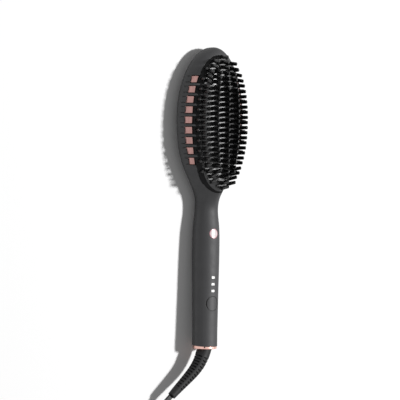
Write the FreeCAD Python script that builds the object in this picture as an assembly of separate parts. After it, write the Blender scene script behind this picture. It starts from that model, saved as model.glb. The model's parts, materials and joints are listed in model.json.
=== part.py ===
import FreeCAD, Part
import math
import os

# A heated straightening brush: a round handle that swells into an oval head, with a domed
# heated plate, rows of bristles, vent windows along both sides and a mains cord on a swivel.
#
# Working frame of this file: Y is the distance from the handle's cord end towards the tip of
# the head, Z is the height above the handle's axis on the bristle side, X is across.
# The brush lies on its back, and touches the table with the swell of its grip and the back of
# its head. The head is shallower than the grip, so save() tips the brush by REST_TILT_DEG, and
# lifts it so that it rests on Z = 0 with the middle of its length above the origin. The loose
# end of the cord is drawn on the table itself and is only lifted.

Vector = FreeCAD.Vector

# ---------------------------------------------------------------- driving dimensions, mm

# casing
GRIP_LENGTH = 148.0          # from the cord end to the neck
HEAD_NEAR_LENGTH = 93.0      # from the neck to the widest section of the head
HEAD_FAR_LENGTH = 71.0       # from the widest section to the tip
END_RADIUS = 13.1
GRIP_RADIUS = 14.2
NECK_HALF_WIDTH = 11.9
NECK_BACK_DEPTH = 12.1
NECK_FRONT_HEIGHT = 13.2
HEAD_HALF_WIDTH = 40.5
HEAD_BACK_DEPTH = 8.6
HEAD_FRONT_HEIGHT = 24.6
HEAD_SPLIT_HEIGHT = 3.0      # parting line above the axis at the widest section
TIP_HEIGHT = 6.3             # tip of the head above the axis
CASING_WALL = 2.4
FIT_GAP = 0.1                # between pieces that are fitted to each other
SHOW_GAP = 0.3               # seen gap between neighbouring covers
PARTING_GAP = 0.12           # between the two casing shells
SINK = 1.0                   # how deep pressed-in pieces stand in their holes
REST_GAP = 0.02              # kept under the lowest rows for the skin between them

# opening of the front casing, its frame and the heated plate
LIP_NEAR = 13.2              # from the neck to the near end of the oval
LIP_FAR = 8.7                # from the far end of the oval to the tip
LIP_SHARE = 0.748            # half width of the oval as a share of the head's
LIP_WIDEST = 5.5             # the oval is widest this much nearer than the head
FRAME_WIDTH = 5.3            # at the sides
PLATE_END_MARGIN = 1.8       # width of the frame at both ends
PLATE_THICKNESS = 3.1
PLATE_RECESS = 0.3
CARRIER_THICKNESS = 2.4
CARRIER_LEDGE = 3.0          # how far the carrier reaches under the plate

# vent windows
WINDOW_COUNT = 9
WINDOW_PITCH = 10.51
WINDOW_LENGTH = 8.2
WINDOW_FIRST = 45.9          # from the neck to the middle of the first window
WINDOW_OUTER_SHARE = (0.930, 0.906)    # of the head's half width, at the first and the last window
GROOVE_OUTER_SHARE = 0.98    # how far the two fine grooves beside each window run outwards
GROOVE_WIDTH = 0.5
GROOVE_DEPTH = 0.9
FINGER_REACH = 2.1           # how far the bars between windows reach into the frame
WINDOW_FLOOR_HEIGHT = 5.0
VENT_GAP = 0.1
VENT_THICKNESS = 1.2
VENT_MARGIN = 4.0
PAD_SIDE_GAP = 0.75          # between a liner's pad and the bars beside it
PAD_END_GAP = 0.4
SLOT_END_INSET = 1.7         # a liner's slots end this much short of the window, to leave its outer band whole
PAD_DEPTH = 1.2              # of the pads' faces under the casing's surface

# bristles
ROWS_PER_WINDOW = 2
ROW_FIRST = 41.3             # from the neck to the row that starts the windows' stretch
ROWS_BEFORE = 4              # rows nearer than the first window
ROWS_IN_ALL = 26
ROW_SLANT = -0.088           # rise of a row along the brush for each millimetre across
COLUMNS_A_SIDE = 2           # beside the middle column
COLUMN_PITCH = 11.6
COLUMN_LIMIT_MARGIN = 1.6
COLUMN_LEAST_SPACING = 7.6
BRISTLE_LENGTH = 15.0
BRISTLE_ROOT = (4.3, 2.4)    # along and across
BRISTLE_TIP = (3.5, 1.7)
BRISTLE_SPLAY = 0.51         # degrees of lean for each millimetre from the middle
BRISTLE_END_LEAN_DEG = 12.0
FIN_END_GAP = 0.5            # between the fins of a row
FIN_WIDTH = 4.3
FIN_END_WIDTH = 1.6
FIN_HEIGHT = 2.4
FIN_ROOT = 0.6
GUARD_LENGTH = 8.6
GUARD_ROOT = (4.2, 2.3)      # along and across
GUARD_TIP = (3.0, 1.6)
TIP_ROUND = 0.5              # how far a bristle's end draws in, and over what height
GUARD_SPLAY_DEG = 14.0
GUARD_EXTRA = 1              # guard bristles past the windows at each end
GUARD_SINK = 0.6

# heater
SEAT_WIDTH = 22.0
SEAT_END_ROOM = 14.0         # past the heater, for a screw and a sensor
SEAT_HEIGHT = 15.0           # underside above the axis
HEATER_WIDTH = 20.0
HEATER_LENGTH = 72.0
HEATER_THICKNESS = 3.0
MICA_THICKNESS = 0.4
CLAMP_THICKNESS = 1.0
CLAMP_WIDTH = 24.0
CLAMP_SCREW_INSET = 4.5
CLAMP_SCREW_RADIUS = 1.4
CLAMP_HEAD_RADIUS = 2.8
CLAMP_HEAD_HEIGHT = 2.0
THERMISTOR_RADIUS = 1.6
THERMISTOR_LENGTH = 9.0
FUSE_RADIUS = 1.6
FUSE_LENGTH = 11.0

# screws through the back
HEAD_SCREW_X = 20.0
HEAD_SCREW_Y = (57.0, 114.0)     # from the neck
HEAD_SCREW_SEAT = -3.2
HEAD_SCREW_TOP = 9.0             # where boss and carrier leg meet
HEAD_SCREW_BITE = 4.0
GRIP_SCREW_Y = (33.5, 121.0)
GRIP_SCREW_SEAT = -8.6
GRIP_SCREW_BITE = 5.0
SCREW_RADIUS = 1.4
SCREW_HEAD_RADIUS = 2.6
SCREW_HEAD_HEIGHT = 1.8
BOSS_WALL = 1.7

# control board and what is on it
BOARD_START = 39.0
BOARD_LENGTH = 72.0
BOARD_WIDTH = 19.0
BOARD_THICKNESS = 1.6
BOARD_TOP = 3.0
BOARD_POST_RADIUS = 2.2
BOARD_SCREW_X = 6.3
BOARD_SCREW_Y = (55.0, 86.0)
BOARD_SCREW_RADIUS = 0.9
BOARD_SCREW_HEAD = (1.8, 1.2)    # radius and height
BOARD_SCREW_LENGTH = 5.0
BUTTON_Y = 47.2
BUTTON_HOLE_RADIUS = 7.45
BUTTON_FOOT = 9.4
BUTTON_TAB = (9.0, 1.9, 1.0)     # across, past the cap, thick
BUTTON_TRAVEL = 0.6
SWITCH_SIDE = 6.0
SWITCH_HEIGHT = 3.5
PLUNGER_RADIUS = 1.75
PLUNGER_HEIGHT = 1.4
PLUNGER_SHOWS = 0.9
STEM_RADIUS = 2.2
LENS_FIRST_Y = 60.3
LENS_PITCH = 6.95
LENS_COUNT = 3
LENS_WIDTH = 3.9
LENS_LENGTH = 2.6
LENS_CORNER = 0.7
LED_SIZE = (2.0, 1.3, 0.8)
LENS_OVER_LED = 0.3
# half width, start and end from the board's near end, height; the height is negative under it
BOARD_PARTS = (
    (3.5, 46.5, 53.5, 1.2),      # controller
    (6.0, 52.0, 64.0, -7.5),     # relay
    (5.0, 24.0, 39.0, -4.5),     # power supply
    (4.0, 1.0, 2.8, 3.0),        # connector
)

# plain disc on the grip
BADGE_Y = 119.5
BADGE_RADIUS = 5.0
BADGE_PROUD = 0.15
BADGE_DEPTH = 0.7

# end ring and swivel
RING_HEIGHT = 3.4            # at the axis
RING_SLANT_DEG = 4.2
RING_STEP = 0.5
RING_ROUND = 0.9
SPIGOT_LENGTH = 7.0
SPIGOT_WALL = 1.7
PIN_RADIUS = 0.65
PIN_SINK = 0.7
PIN_LENGTH = 2.4
PIN_Y = 1.9
PIN_ANGLE_DEG = 36.0         # to the left of the bristle side
BARREL_RADIUS = 6.1
BARREL_PLAY = 0.05
BARREL_FLANGE = (8.2, 2.2)   # radius and thickness
BARREL_CORE_RADIUS = 4.9
BARREL_BORE_RADIUS = 3.4
BARREL_LENGTH = 24.0
RING_LIP = 2.3
SWIVEL_PLAY = 0.35
SLIP_RING = (5.6, 2.6)       # radius and width
SLIP_RING_Y = (13.0, 19.0)
HOUSING_WALL = 1.6
HOUSING_LENGTH = 28.0
SPRING_SIZE = (3.0, 1.6)

# strain relief boot
BOOT_ROOT_RADIUS = 7.4
BOOT_END_RADIUS = 4.2
BOOT_COLLAR = 7.5
BOOT_GAP = 0.35
BOOT_SLOTS = 13
BOOT_SLOT_FIRST = 9.7
BOOT_SLOT_PITCH = 3.48
BOOT_SLOT_WIDTH = 1.3
BOOT_CORE_SHARE = 0.62
BOOT_WEB = 2.6
BOOT_WEB_ANGLE_DEG = 24.5
BOOT_ROUTE = (
    (0.0, -BOOT_GAP, 0.0),
    (-2.2, -5.2, 0.0),
    (-6.1, -13.3, -0.1),
    (-12.2, -21.6, -0.3),
    (-20.7, -29.9, -0.6),
    (-30.0, -38.2, -1.0),
    (-40.0, -47.5, -1.6),
)

# flat twin cord, its coil and plug
CORD_WIDTH = 5.6
CORD_THICKNESS = 3.1
COIL_CENTRE = (-19.0, -108.0)
COIL_RADIUS = 31.0           # at the middle of the turns
COIL_COLUMNS = 3
COIL_LAYERS = 4
COIL_PITCH = (5.7, 3.2)      # across and up
COIL_ROUND = 1.4
TIE_WIDTH = 11.0
TIE_THICKNESS = 0.8
TIE_ANGLE_DEG = -40.0
COIL_LIFT = 0.9              # the coil lies on the tie's lower strand
LEAD_ROUTE = (               # x, y and height above the table, from the boot to the coil
    (-38.6, -46.1, 18.3),
    (-48.0, -55.0, 17.4),
    (-54.6, -65.0, 14.0),
    (-58.2, -76.0, 9.2),
    (-58.9, -87.0, 4.9),
    (-57.8, -98.5, 2.3),
    (-55.7, -109.5, 2.5),
)
TAIL_ROUTE = (               # from the coil's top layer to the plug
    (-55.5, -112.0, 12.1),
    (-56.6, -122.5, 11.6),
    (-57.2, -133.0, 9.9),
    (-57.4, -143.0, 8.4),
    (-57.4, -152.0, 8.0),
)
PLUG_RELIEF = (20.0, 4.6, 6.6)    # length, radius at the cord, radius at the body
PLUG_BODY = (22.0, 28.0, 16.0)    # across, along, high
PLUG_ROUND = 2.5
BLADE = (1.5, 17.0, 6.3)          # thick, long, high
BLADE_SPACING = 12.7
BLADE_ROOT = 2.0

# wires inside
WIRE_RADIUS = 0.9
SENSOR_WIRE_RADIUS = 0.5

# ---------------------------------------------------------------- derived sizes

NECK_Y = GRIP_LENGTH
WIDEST_Y = GRIP_LENGTH + HEAD_NEAR_LENGTH
TIP_Y = WIDEST_Y + HEAD_FAR_LENGTH
MIDDLE_Y = TIP_Y / 2
LIP_HALF_WIDTH = HEAD_HALF_WIDTH * LIP_SHARE
PLATE_HALF_WIDTH = LIP_HALF_WIDTH - FRAME_WIDTH
SEAT_LENGTH = HEATER_LENGTH + 2 * SEAT_END_ROOM
CARRIER_HOLE_Y = NECK_Y + LIP_NEAR + PLATE_END_MARGIN + CARRIER_LEDGE
FAR_AWAY = 60.0

# Shape of the grip: share of its length, share of the way between the two radii.
GRIP_SWELL = ((0.0, 0.0), (0.135, 0.0), (0.27, 0.23), (0.41, 0.47), (0.554, 0.82), (0.703, 1.0))
GRIP_WAIST = ((0.831, 0.14), (0.885, 0.41), (0.946, 0.82))

# Shape of the near half of the head: share of its length, then the share of the way from the
# neck to the widest section for half width, back depth, front height and parting line, and
# the fullness of the front arch (2 is an ellipse, less is more pointed).
HEAD_NEAR_SHAPE = (
    (0.0, 0.0, 0.0, 0.0, 0.0, 2.0),
    (0.043, 0.0, 0.03, 0.175, 0.0, 1.9),
    (0.09, 0.021, 0.12, 0.456, 0.03, 1.7),
    (0.134, 0.073, 0.24, 0.772, 0.07, 1.55),
    (0.18, 0.157, 0.36, 0.947, 0.1, 1.55),
    (0.224, 0.241, 0.46, 0.982, 0.15, 1.62),
    (0.269, 0.329, 0.53, 0.991, 0.2, 1.7),
    (0.435, 0.64, 0.78, 0.991, 0.3, 1.8),
    (0.656, 0.888, 0.93, 0.991, 0.57, 2.0),
    (0.828, 0.972, 0.98, 1.0, 0.8, 2.0),
    (1.0, 1.0, 1.0, 1.0, 1.0, 2.0),
)
HEAD_FAR_STEPS_DEG = (12, 24, 36, 48, 58, 68, 76, 82, 86, 88.4)
WIDTH_ROUNDNESS = 1.85
BACK_ROUNDNESS = 2.4
FRONT_ROUNDNESS = 4.0
SECTION_POINTS = 32
SKIN_STRIPS = 4
OVAL_STEPS = 6
OVAL_NEAR_FULLNESS = 2.0
OVAL_FAR_FULLNESS = 2.15
SECTION_START_DEG = -45.0    # where the surface's own seam runs: low on the right, away from all cuts


# ---------------------------------------------------------------- outer form of the casing

def between(low, high, share):
    return low + (high - low) * share


def head_far_row(x, inset):
    """Half width, back depth, front height, parting line and fullness at share x of the far half."""
    half_width = (HEAD_HALF_WIDTH - inset) * math.sqrt(1 - x ** WIDTH_ROUNDNESS)
    end = 1 - x ** 3
    back = between(-TIP_HEIGHT, HEAD_BACK_DEPTH - inset, end ** (1 / BACK_ROUNDNESS))
    front = between(TIP_HEIGHT, HEAD_FRONT_HEIGHT - inset, end ** (1 / FRONT_ROUNDNESS))
    split = between(HEAD_SPLIT_HEIGHT, TIP_HEIGHT, x ** 2)
    return half_width, back, front, split, 2.0


def body_rows(inset):
    """Rows of station, half width, back depth, front height, parting line and fullness."""
    rows = []
    for share, swell in GRIP_SWELL:
        radius = between(END_RADIUS, GRIP_RADIUS, swell) - inset
        rows.append((share * GRIP_LENGTH, radius, radius, radius, 0.0, 2.0))
    for share, waist in GRIP_WAIST:
        radius = between(GRIP_RADIUS, NECK_HALF_WIDTH, waist) - inset
        rows.append((share * GRIP_LENGTH, radius, radius, radius, 0.0, 2.0))
    for share, wide, deep, high, split, fullness in HEAD_NEAR_SHAPE:
        rows.append((
            NECK_Y + share * HEAD_NEAR_LENGTH,
            between(NECK_HALF_WIDTH, HEAD_HALF_WIDTH, wide) - inset,
            between(NECK_BACK_DEPTH, HEAD_BACK_DEPTH, deep) - inset,
            between(NECK_FRONT_HEIGHT, HEAD_FRONT_HEIGHT, high) - inset,
            HEAD_SPLIT_HEIGHT * split,
            fullness,
        ))
    for step in HEAD_FAR_STEPS_DEG:
        x = math.sin(math.radians(step))
        rows.append((WIDEST_Y + (HEAD_FAR_LENGTH - inset) * x,) + head_far_row(x, inset))
    return rows


def rest_slope():
    """Slope of a table that touches the swell of the grip and the head's back."""
    rows = body_rows(0.0)
    grip = [row for row in rows if row[0] < NECK_Y]
    head = [row for row in rows if row[0] >= NECK_Y]
    return max(min((g[2] - h[2]) / (h[0] - g[0]) for h in head) for g in grip)


def lowest_point():
    """How far the tipped brush reaches below the middle of its axis."""
    tilt = math.radians(REST_TILT_DEG)
    return max(row[2] * math.cos(tilt) + (row[0] - MIDDLE_Y) * math.sin(tilt) for row in body_rows(0.0))


REST_TILT_DEG = math.degrees(math.atan(rest_slope()))
AXIS_HEIGHT = lowest_point() + REST_GAP


def section_points(row):
    """Points once round a section: the front arch, then the back arch."""
    y, half_width, back, front, split, fullness = row
    points = []
    for k in range(SECTION_POINTS):
        angle = math.radians(SECTION_START_DEG) + 2 * math.pi * k / SECTION_POINTS
        c = math.cos(angle)
        s = math.sin(angle)
        power = 2 / fullness if s >= 0 else 1.0
        x = half_width * math.copysign(abs(c) ** power, c)
        rise = front - split if s >= 0 else back + split
        z = split + rise * math.copysign(abs(s) ** power, s)
        points.append(Vector(x, y, z))
    return points


def skin(sections):
    """One smooth surface through closed sections with the same number of points."""
    count = len(sections[0])
    around = [k / count for k in range(count + 1)]
    hoops = []
    for points in sections:
        hoop = Part.BSplineCurve()
        hoop.interpolate(Points=points, Parameters=around, PeriodicFlag=True)
        hoops.append(hoop)
    travelled = [0.0]
    for near, far in zip(sections, sections[1:]):
        step = sum((p - q).Length for p, q in zip(near, far)) / count
        travelled.append(travelled[-1] + step)
    along = [d / travelled[-1] for d in travelled]
    ribs = []
    for column in zip(*[hoop.getPoles() for hoop in hoops]):
        rib = Part.BSplineCurve()
        rib.interpolate(Points=list(column), Parameters=along)
        ribs.append(rib)
    surface = Part.BSplineSurface()
    surface.buildFromPolesMultsKnots(
        [rib.getPoles() for rib in ribs],
        hoops[0].getMultiplicities(), ribs[0].getMultiplicities(),
        hoops[0].getKnots(), ribs[0].getKnots(),
        True, False, hoops[0].Degree, ribs[0].Degree,
    )
    return surface


def closed_solid(sides, ends):
    shell = Part.makeShell(sides + ends)
    shell.sewShape()
    return Part.makeSolid(shell)


def body(inset):
    """The casing's outer form, drawn in by inset, as one closed solid."""
    surface = skin([section_points(row) for row in body_rows(inset)])
    sides = []
    rims = {}
    for k in range(SKIN_STRIPS):
        strip = surface.copy()
        strip.segment(k / SKIN_STRIPS, (k + 1) / SKIN_STRIPS, 0.0, 1.0)
        sides.append(strip.toShape())
        for edge in sides[-1].Edges:
            if edge.BoundBox.YLength < 0.01:
                rims.setdefault(round(edge.BoundBox.YMin), []).append(edge)
    ends = [Part.Face(Part.Wire(Part.__sortEdges__(rim))) for rim in rims.values()]
    return closed_solid(sides, ends)


def half_width_at(y):
    """Half width of the head at station y, between the rows by straight lines."""
    rows = body_rows(0.0)
    for near, far in zip(rows, rows[1:]):
        if near[0] <= y <= far[0]:
            return between(near[1], far[1], (y - near[0]) / (far[0] - near[0]))
    return 0.0


# ---------------------------------------------------------------- small helpers

def box(x0, x1, y0, y1, z0, z1):
    return Part.makeBox(x1 - x0, y1 - y0, z1 - z0, Vector(x0, y0, z0))


def post(x, y, z0, z1, radius):
    return Part.makeCylinder(radius, z1 - z0, Vector(x, y, z0), Vector(0, 0, 1))


def barrel(y0, y1, radius):
    return Part.makeCylinder(radius, y1 - y0, Vector(0, y0, 0), Vector(0, 1, 0))


def fuse(shapes):
    first = shapes[0]
    return first.multiFuse(shapes[1:]).removeSplitter() if len(shapes) > 1 else first


def rounded_box(x0, x1, y0, y1, z0, z1, radius):
    """A box whose upright edges are rounded."""
    shape = box(x0, x1, y0, y1, z0, z1)
    upright = [e for e in shape.Edges if abs(e.BoundBox.ZLength - (z1 - z0)) < 1e-6 and e.BoundBox.XLength < 1e-6]
    return shape.makeFillet(radius, upright)


def placed(shape, origin, along, up):
    """Turns a shape so that its own Z points along and its own Y as near to up as it can."""
    z = Vector(*along).normalize()
    x = Vector(*up).cross(z).normalize()
    y = z.cross(x)
    matrix = FreeCAD.Matrix(
        x.x, y.x, z.x, origin[0],
        x.y, y.y, z.y, origin[1],
        x.z, y.z, z.z, origin[2],
        0, 0, 0, 1,
    )
    turned = shape.copy()
    turned.Placement = FreeCAD.Placement(matrix)
    return turned


def bent_path(points):
    """Straight runs joined by tangent arcs, and the arcs' radii."""
    points = [Vector(*p) for p in points]
    edges = []
    radii = []
    start = points[0]
    for before, corner, after in zip(points, points[1:], points[2:]):
        incoming = corner - before
        outgoing = after - corner
        turn = incoming.getAngle(outgoing)
        reach = 0.45 * min(incoming.Length, outgoing.Length)
        radii.append(reach / math.tan(turn / 2))
        arc_start = corner - incoming.normalize() * reach
        arc_end = corner + outgoing.normalize() * reach
        bulge = (arc_start + arc_end) * 0.5 - corner
        depth = radii[-1] / math.cos(turn / 2) - radii[-1]
        middle = corner + bulge.normalize() * depth
        edges.append(Part.LineSegment(start, arc_start).toShape())
        edges.append(Part.Arc(arc_start, middle, arc_end).toShape())
        start = arc_end
    edges.append(Part.LineSegment(start, points[-1]).toShape())
    return Part.Wire(edges), radii


def oval_profile(width, height, origin, along):
    """A flat cord's section: a slot shape, its long side level."""
    half_flat = (width - height) / 2
    r = height / 2
    a = Vector(-half_flat, r, 0)
    b = Vector(half_flat, r, 0)
    c = Vector(half_flat, -r, 0)
    d = Vector(-half_flat, -r, 0)
    edges = [
        Part.LineSegment(a, b).toShape(),
        Part.Arc(b, Vector(half_flat + r, 0, 0), c).toShape(),
        Part.LineSegment(c, d).toShape(),
        Part.Arc(d, Vector(-half_flat - r, 0, 0), a).toShape(),
    ]
    return placed(Part.Wire(edges), origin, along, (0, 0, 1))


def flat_cord(points):
    """The flat cord along a route, kept level as it goes."""
    path, radii = bent_path(points)
    along = Vector(*points[1]) - Vector(*points[0])
    profile = oval_profile(CORD_WIDTH, CORD_THICKNESS, points[0], along)
    sweep = Part.BRepOffsetAPI.MakePipeShell(path)
    sweep.setBiNormalMode(Vector(0, 0, 1))
    sweep.add(profile, False, False)
    sweep.build()
    sweep.makeSolid()
    return sweep.shape(), path.Length, radii


def wire_run(points, radius):
    """A round wire inside the casing."""
    path, _ = bent_path(points)
    start = Vector(*points[0])
    circle = Part.Circle(start, Vector(*points[1]) - start, radius)
    return path.makePipeShell([Part.Wire(circle.toShape())], True, False)


def oval_quarter(x_side, y_reach, wide, fullness, z):
    """From the widest point of the oval round to its end, on one side."""
    points = []
    for k in range(OVAL_STEPS + 1):
        angle = math.pi / 2 * k / OVAL_STEPS
        across = math.cos(angle) ** (2 / fullness) if k < OVAL_STEPS else 0.0
        along = math.sin(angle) ** (2 / fullness)
        points.append(Vector(x_side * wide * across, WIDEST_Y - LIP_WIDEST + y_reach * along, z))
    start = Vector(0, math.copysign(1, y_reach), 0)
    end = Vector(-x_side, 0, 0)
    curve = Part.BSplineCurve()
    curve.interpolate(Points=points, InitialTangent=start, FinalTangent=end)
    return curve.toShape()


def oval_prism(inset_side, inset_end, z0, z1, half_width=LIP_HALF_WIDTH):
    """A prism on the egg-shaped outline of the face, drawn in at its sides and ends."""
    middle = WIDEST_Y - LIP_WIDEST
    near = middle - (NECK_Y + LIP_NEAR) - inset_end
    far = (TIP_Y - LIP_FAR) - middle - inset_end
    wide = half_width - inset_side
    sides = []
    rims = {z0: [], z1: []}
    for x_side in (1, -1):
        for reach, fullness in ((far, OVAL_FAR_FULLNESS), (-near, OVAL_NEAR_FULLNESS)):
            low = oval_quarter(x_side, reach, wide, fullness, z0)
            high = oval_quarter(x_side, reach, wide, fullness, z1)
            sides.append(Part.makeRuledSurface(low, high))
            rims[z0].append(low)
            rims[z1].append(high)
    ends = [Part.Face(Part.Wire(Part.__sortEdges__(rim))) for rim in rims.values()]
    return closed_solid(sides, ends)


def oval_half_width_at(y, half_width, end_margin):
    middle = WIDEST_Y - LIP_WIDEST
    near = middle - (NECK_Y + LIP_NEAR) - end_margin
    far = (TIP_Y - LIP_FAR) - middle - end_margin
    share = abs(y - middle) / (far if y > middle else near)
    power = OVAL_FAR_FULLNESS if y > middle else OVAL_NEAR_FULLNESS
    return half_width * max(0.0, 1 - share ** power) ** (1 / power)


def lip_half_width_at(y):
    return oval_half_width_at(y, LIP_HALF_WIDTH, 0.0)


def plate_half_width_at(y):
    return oval_half_width_at(y, PLATE_HALF_WIDTH, PLATE_END_MARGIN)


def drop_to(shape, x, y, above):
    """Height of the shape's top face at x, y."""
    line = Part.makeLine(Vector(x, y, above), Vector(x, y, 0))
    inside = shape.common(line)
    return max(v.Z for v in inside.Vertexes)


def save(name, shape, tilt_deg):
    placed_shape = shape.copy()
    placed_shape.translate(Vector(0, -MIDDLE_Y, 0))
    placed_shape.rotate(Vector(0, 0, 0), Vector(1, 0, 0), -tilt_deg)
    placed_shape.translate(Vector(0, 0, AXIS_HEIGHT))
    solids = placed_shape.Solids
    placed_shape = Part.makeCompound(solids) if len(solids) > 1 else solids[0]
    if not placed_shape.isValid():
        print("not valid:", name)
    placed_shape.exportStep(f"parts/{name}.step")
    print(f"{name:20s} solids {len(solids):4d}  volume {placed_shape.Volume:10.1f}")


# ---------------------------------------------------------------- casing shells

def under_seam(gap):
    """Everything on the cord side of the slanted seam between casing and end ring."""
    rise = FAR_AWAY * math.tan(math.radians(RING_SLANT_DEG))
    corners = [
        Vector(-FAR_AWAY, -FAR_AWAY, -FAR_AWAY),
        Vector(-FAR_AWAY, RING_HEIGHT + gap + rise, -FAR_AWAY),
        Vector(-FAR_AWAY, RING_HEIGHT + gap - rise, FAR_AWAY),
        Vector(-FAR_AWAY, -FAR_AWAY, FAR_AWAY),
    ]
    return Part.Face(Part.makePolygon(corners + corners[:1])).extrude(Vector(2 * FAR_AWAY, 0, 0))


def under_split():
    """Everything below the parting line of the two casing shells."""
    rows = body_rows(0.0)
    heads = [row for row in rows if row[0] >= NECK_Y]
    line = [Vector(-FAR_AWAY, NECK_Y, 0)] + [Vector(-FAR_AWAY, row[0], row[4]) for row in heads[2::2]]
    curve = Part.BSplineCurve()
    curve.interpolate(Points=line, InitialTangent=Vector(0, 1, 0), FinalTangent=Vector(0, 1, 0.05))
    start = Vector(-FAR_AWAY, -FAR_AWAY, 0)
    end = Vector(-FAR_AWAY, TIP_Y + FAR_AWAY, line[-1].z)
    edges = [
        Part.LineSegment(start, line[0]).toShape(),
        curve.toShape(),
        Part.LineSegment(line[-1], end).toShape(),
        Part.LineSegment(end, Vector(end.x, end.y, -FAR_AWAY)).toShape(),
        Part.LineSegment(Vector(end.x, end.y, -FAR_AWAY), Vector(start.x, start.y, -FAR_AWAY)).toShape(),
        Part.LineSegment(Vector(start.x, start.y, -FAR_AWAY), start).toShape(),
    ]
    return Part.Face(Part.Wire(edges)).extrude(Vector(2 * FAR_AWAY, 0, 0))


def window_middles():
    return [NECK_Y + WINDOW_FIRST + k * WINDOW_PITCH for k in range(WINDOW_COUNT)]


def window_shares():
    near, far = WINDOW_OUTER_SHARE
    return [between(near, far, k / (WINDOW_COUNT - 1)) for k in range(WINDOW_COUNT)]


def strip(side, low, high, inner_inset, outer_share, outer_inset):
    """An upright prism across one side of the head, from near the oval's lip out to a share of the half width."""
    inner = [lip_half_width_at(y) - inner_inset for y in (low, high)]
    outer = [outer_share * half_width_at(y) - outer_inset for y in (low, high)]
    corners = [
        Vector(side * inner[0], low, WINDOW_FLOOR_HEIGHT),
        Vector(side * outer[0], low, WINDOW_FLOOR_HEIGHT),
        Vector(side * outer[1], high, WINDOW_FLOOR_HEIGHT),
        Vector(side * inner[1], high, WINDOW_FLOOR_HEIGHT),
    ]
    return Part.Face(Part.makePolygon(corners + corners[:1])).extrude(Vector(0, 0, FAR_AWAY))


def window_prisms():
    """Prisms over the windows, which are open to the oval."""
    half = WINDOW_LENGTH / 2
    prisms = []
    for middle, share in zip(window_middles(), window_shares()):
        for side in (-1, 1):
            prisms.append(strip(side, middle - half, middle + half, FINGER_REACH + SHOW_GAP, share, 0))
    return prisms


def pad_prisms():
    """Prisms over the liners' pads, clear of the windows' edges."""
    half = WINDOW_LENGTH / 2 - PAD_SIDE_GAP
    prisms = []
    for middle, share in zip(window_middles(), window_shares()):
        prisms.append(strip(1, middle - half, middle + half, -PAD_END_GAP, share, PAD_END_GAP))
    return prisms


def gap_prisms():
    """Prisms over the gaps on both sides of each pad, for the slots of the comb-shaped liners."""
    half = WINDOW_LENGTH / 2
    prisms = []
    for middle, share in zip(window_middles(), window_shares()):
        for low in (middle - half, middle + half - PAD_SIDE_GAP):
            prisms.append(strip(1, low, low + PAD_SIDE_GAP, SHOW_GAP, share, SLOT_END_INSET))
    return prisms


def groove_prisms():
    """Prisms over the fine grooves that run on outwards from each window's corners."""
    half = WINDOW_LENGTH / 2 - PAD_SIDE_GAP
    prisms = []
    for middle, share in zip(window_middles(), window_shares()):
        start = lip_half_width_at(middle) - share * half_width_at(middle) + SHOW_GAP
        for low in (middle - half, middle + half - GROOVE_WIDTH):
            for side in (-1, 1):
                prisms.append(strip(side, low, low + GROOVE_WIDTH, start, GROOVE_OUTER_SHARE, 0))
    return prisms


def bar_fingers(grow):
    """Boxes over the inner ends of the bars between windows, grown for their slots in the frame."""
    boxes = []
    middles = window_middles()
    for near, far in zip(middles, middles[1:]):
        low = near + WINDOW_LENGTH / 2 - grow
        high = far - WINDOW_LENGTH / 2 + grow
        lip = lip_half_width_at((near + far) / 2)
        for side in (-1, 1):
            inner = side * (lip - FINGER_REACH - grow)
            outer = side * (lip + FINGER_REACH)
            boxes.append(box(
                min(inner, outer), max(inner, outer), low, high, WINDOW_FLOOR_HEIGHT - 1, 2 * FAR_AWAY))
    return Part.makeCompound(boxes)


def head_screw_places():
    return [(side * HEAD_SCREW_X, NECK_Y + y) for y in HEAD_SCREW_Y for side in (-1, 1)]


def board_screw_places():
    return [(side * BOARD_SCREW_X, y) for y in BOARD_SCREW_Y for side in (-1, 1)]


def screw(x, y, seat, top):
    """A pan-head screw driven upwards, its head under the seat."""
    head = post(x, y, seat - SCREW_HEAD_HEIGHT, seat, SCREW_HEAD_RADIUS)
    recess = post(x, y, seat - SCREW_HEAD_HEIGHT, seat - SCREW_HEAD_HEIGHT * 0.4, SCREW_HEAD_RADIUS * 0.35)
    shank = post(x, y, seat, top, SCREW_RADIUS)
    return fuse([head, shank]).cut(recess)


def lens_places():
    return [LENS_FIRST_Y + k * LENS_PITCH for k in range(LENS_COUNT)]


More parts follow.
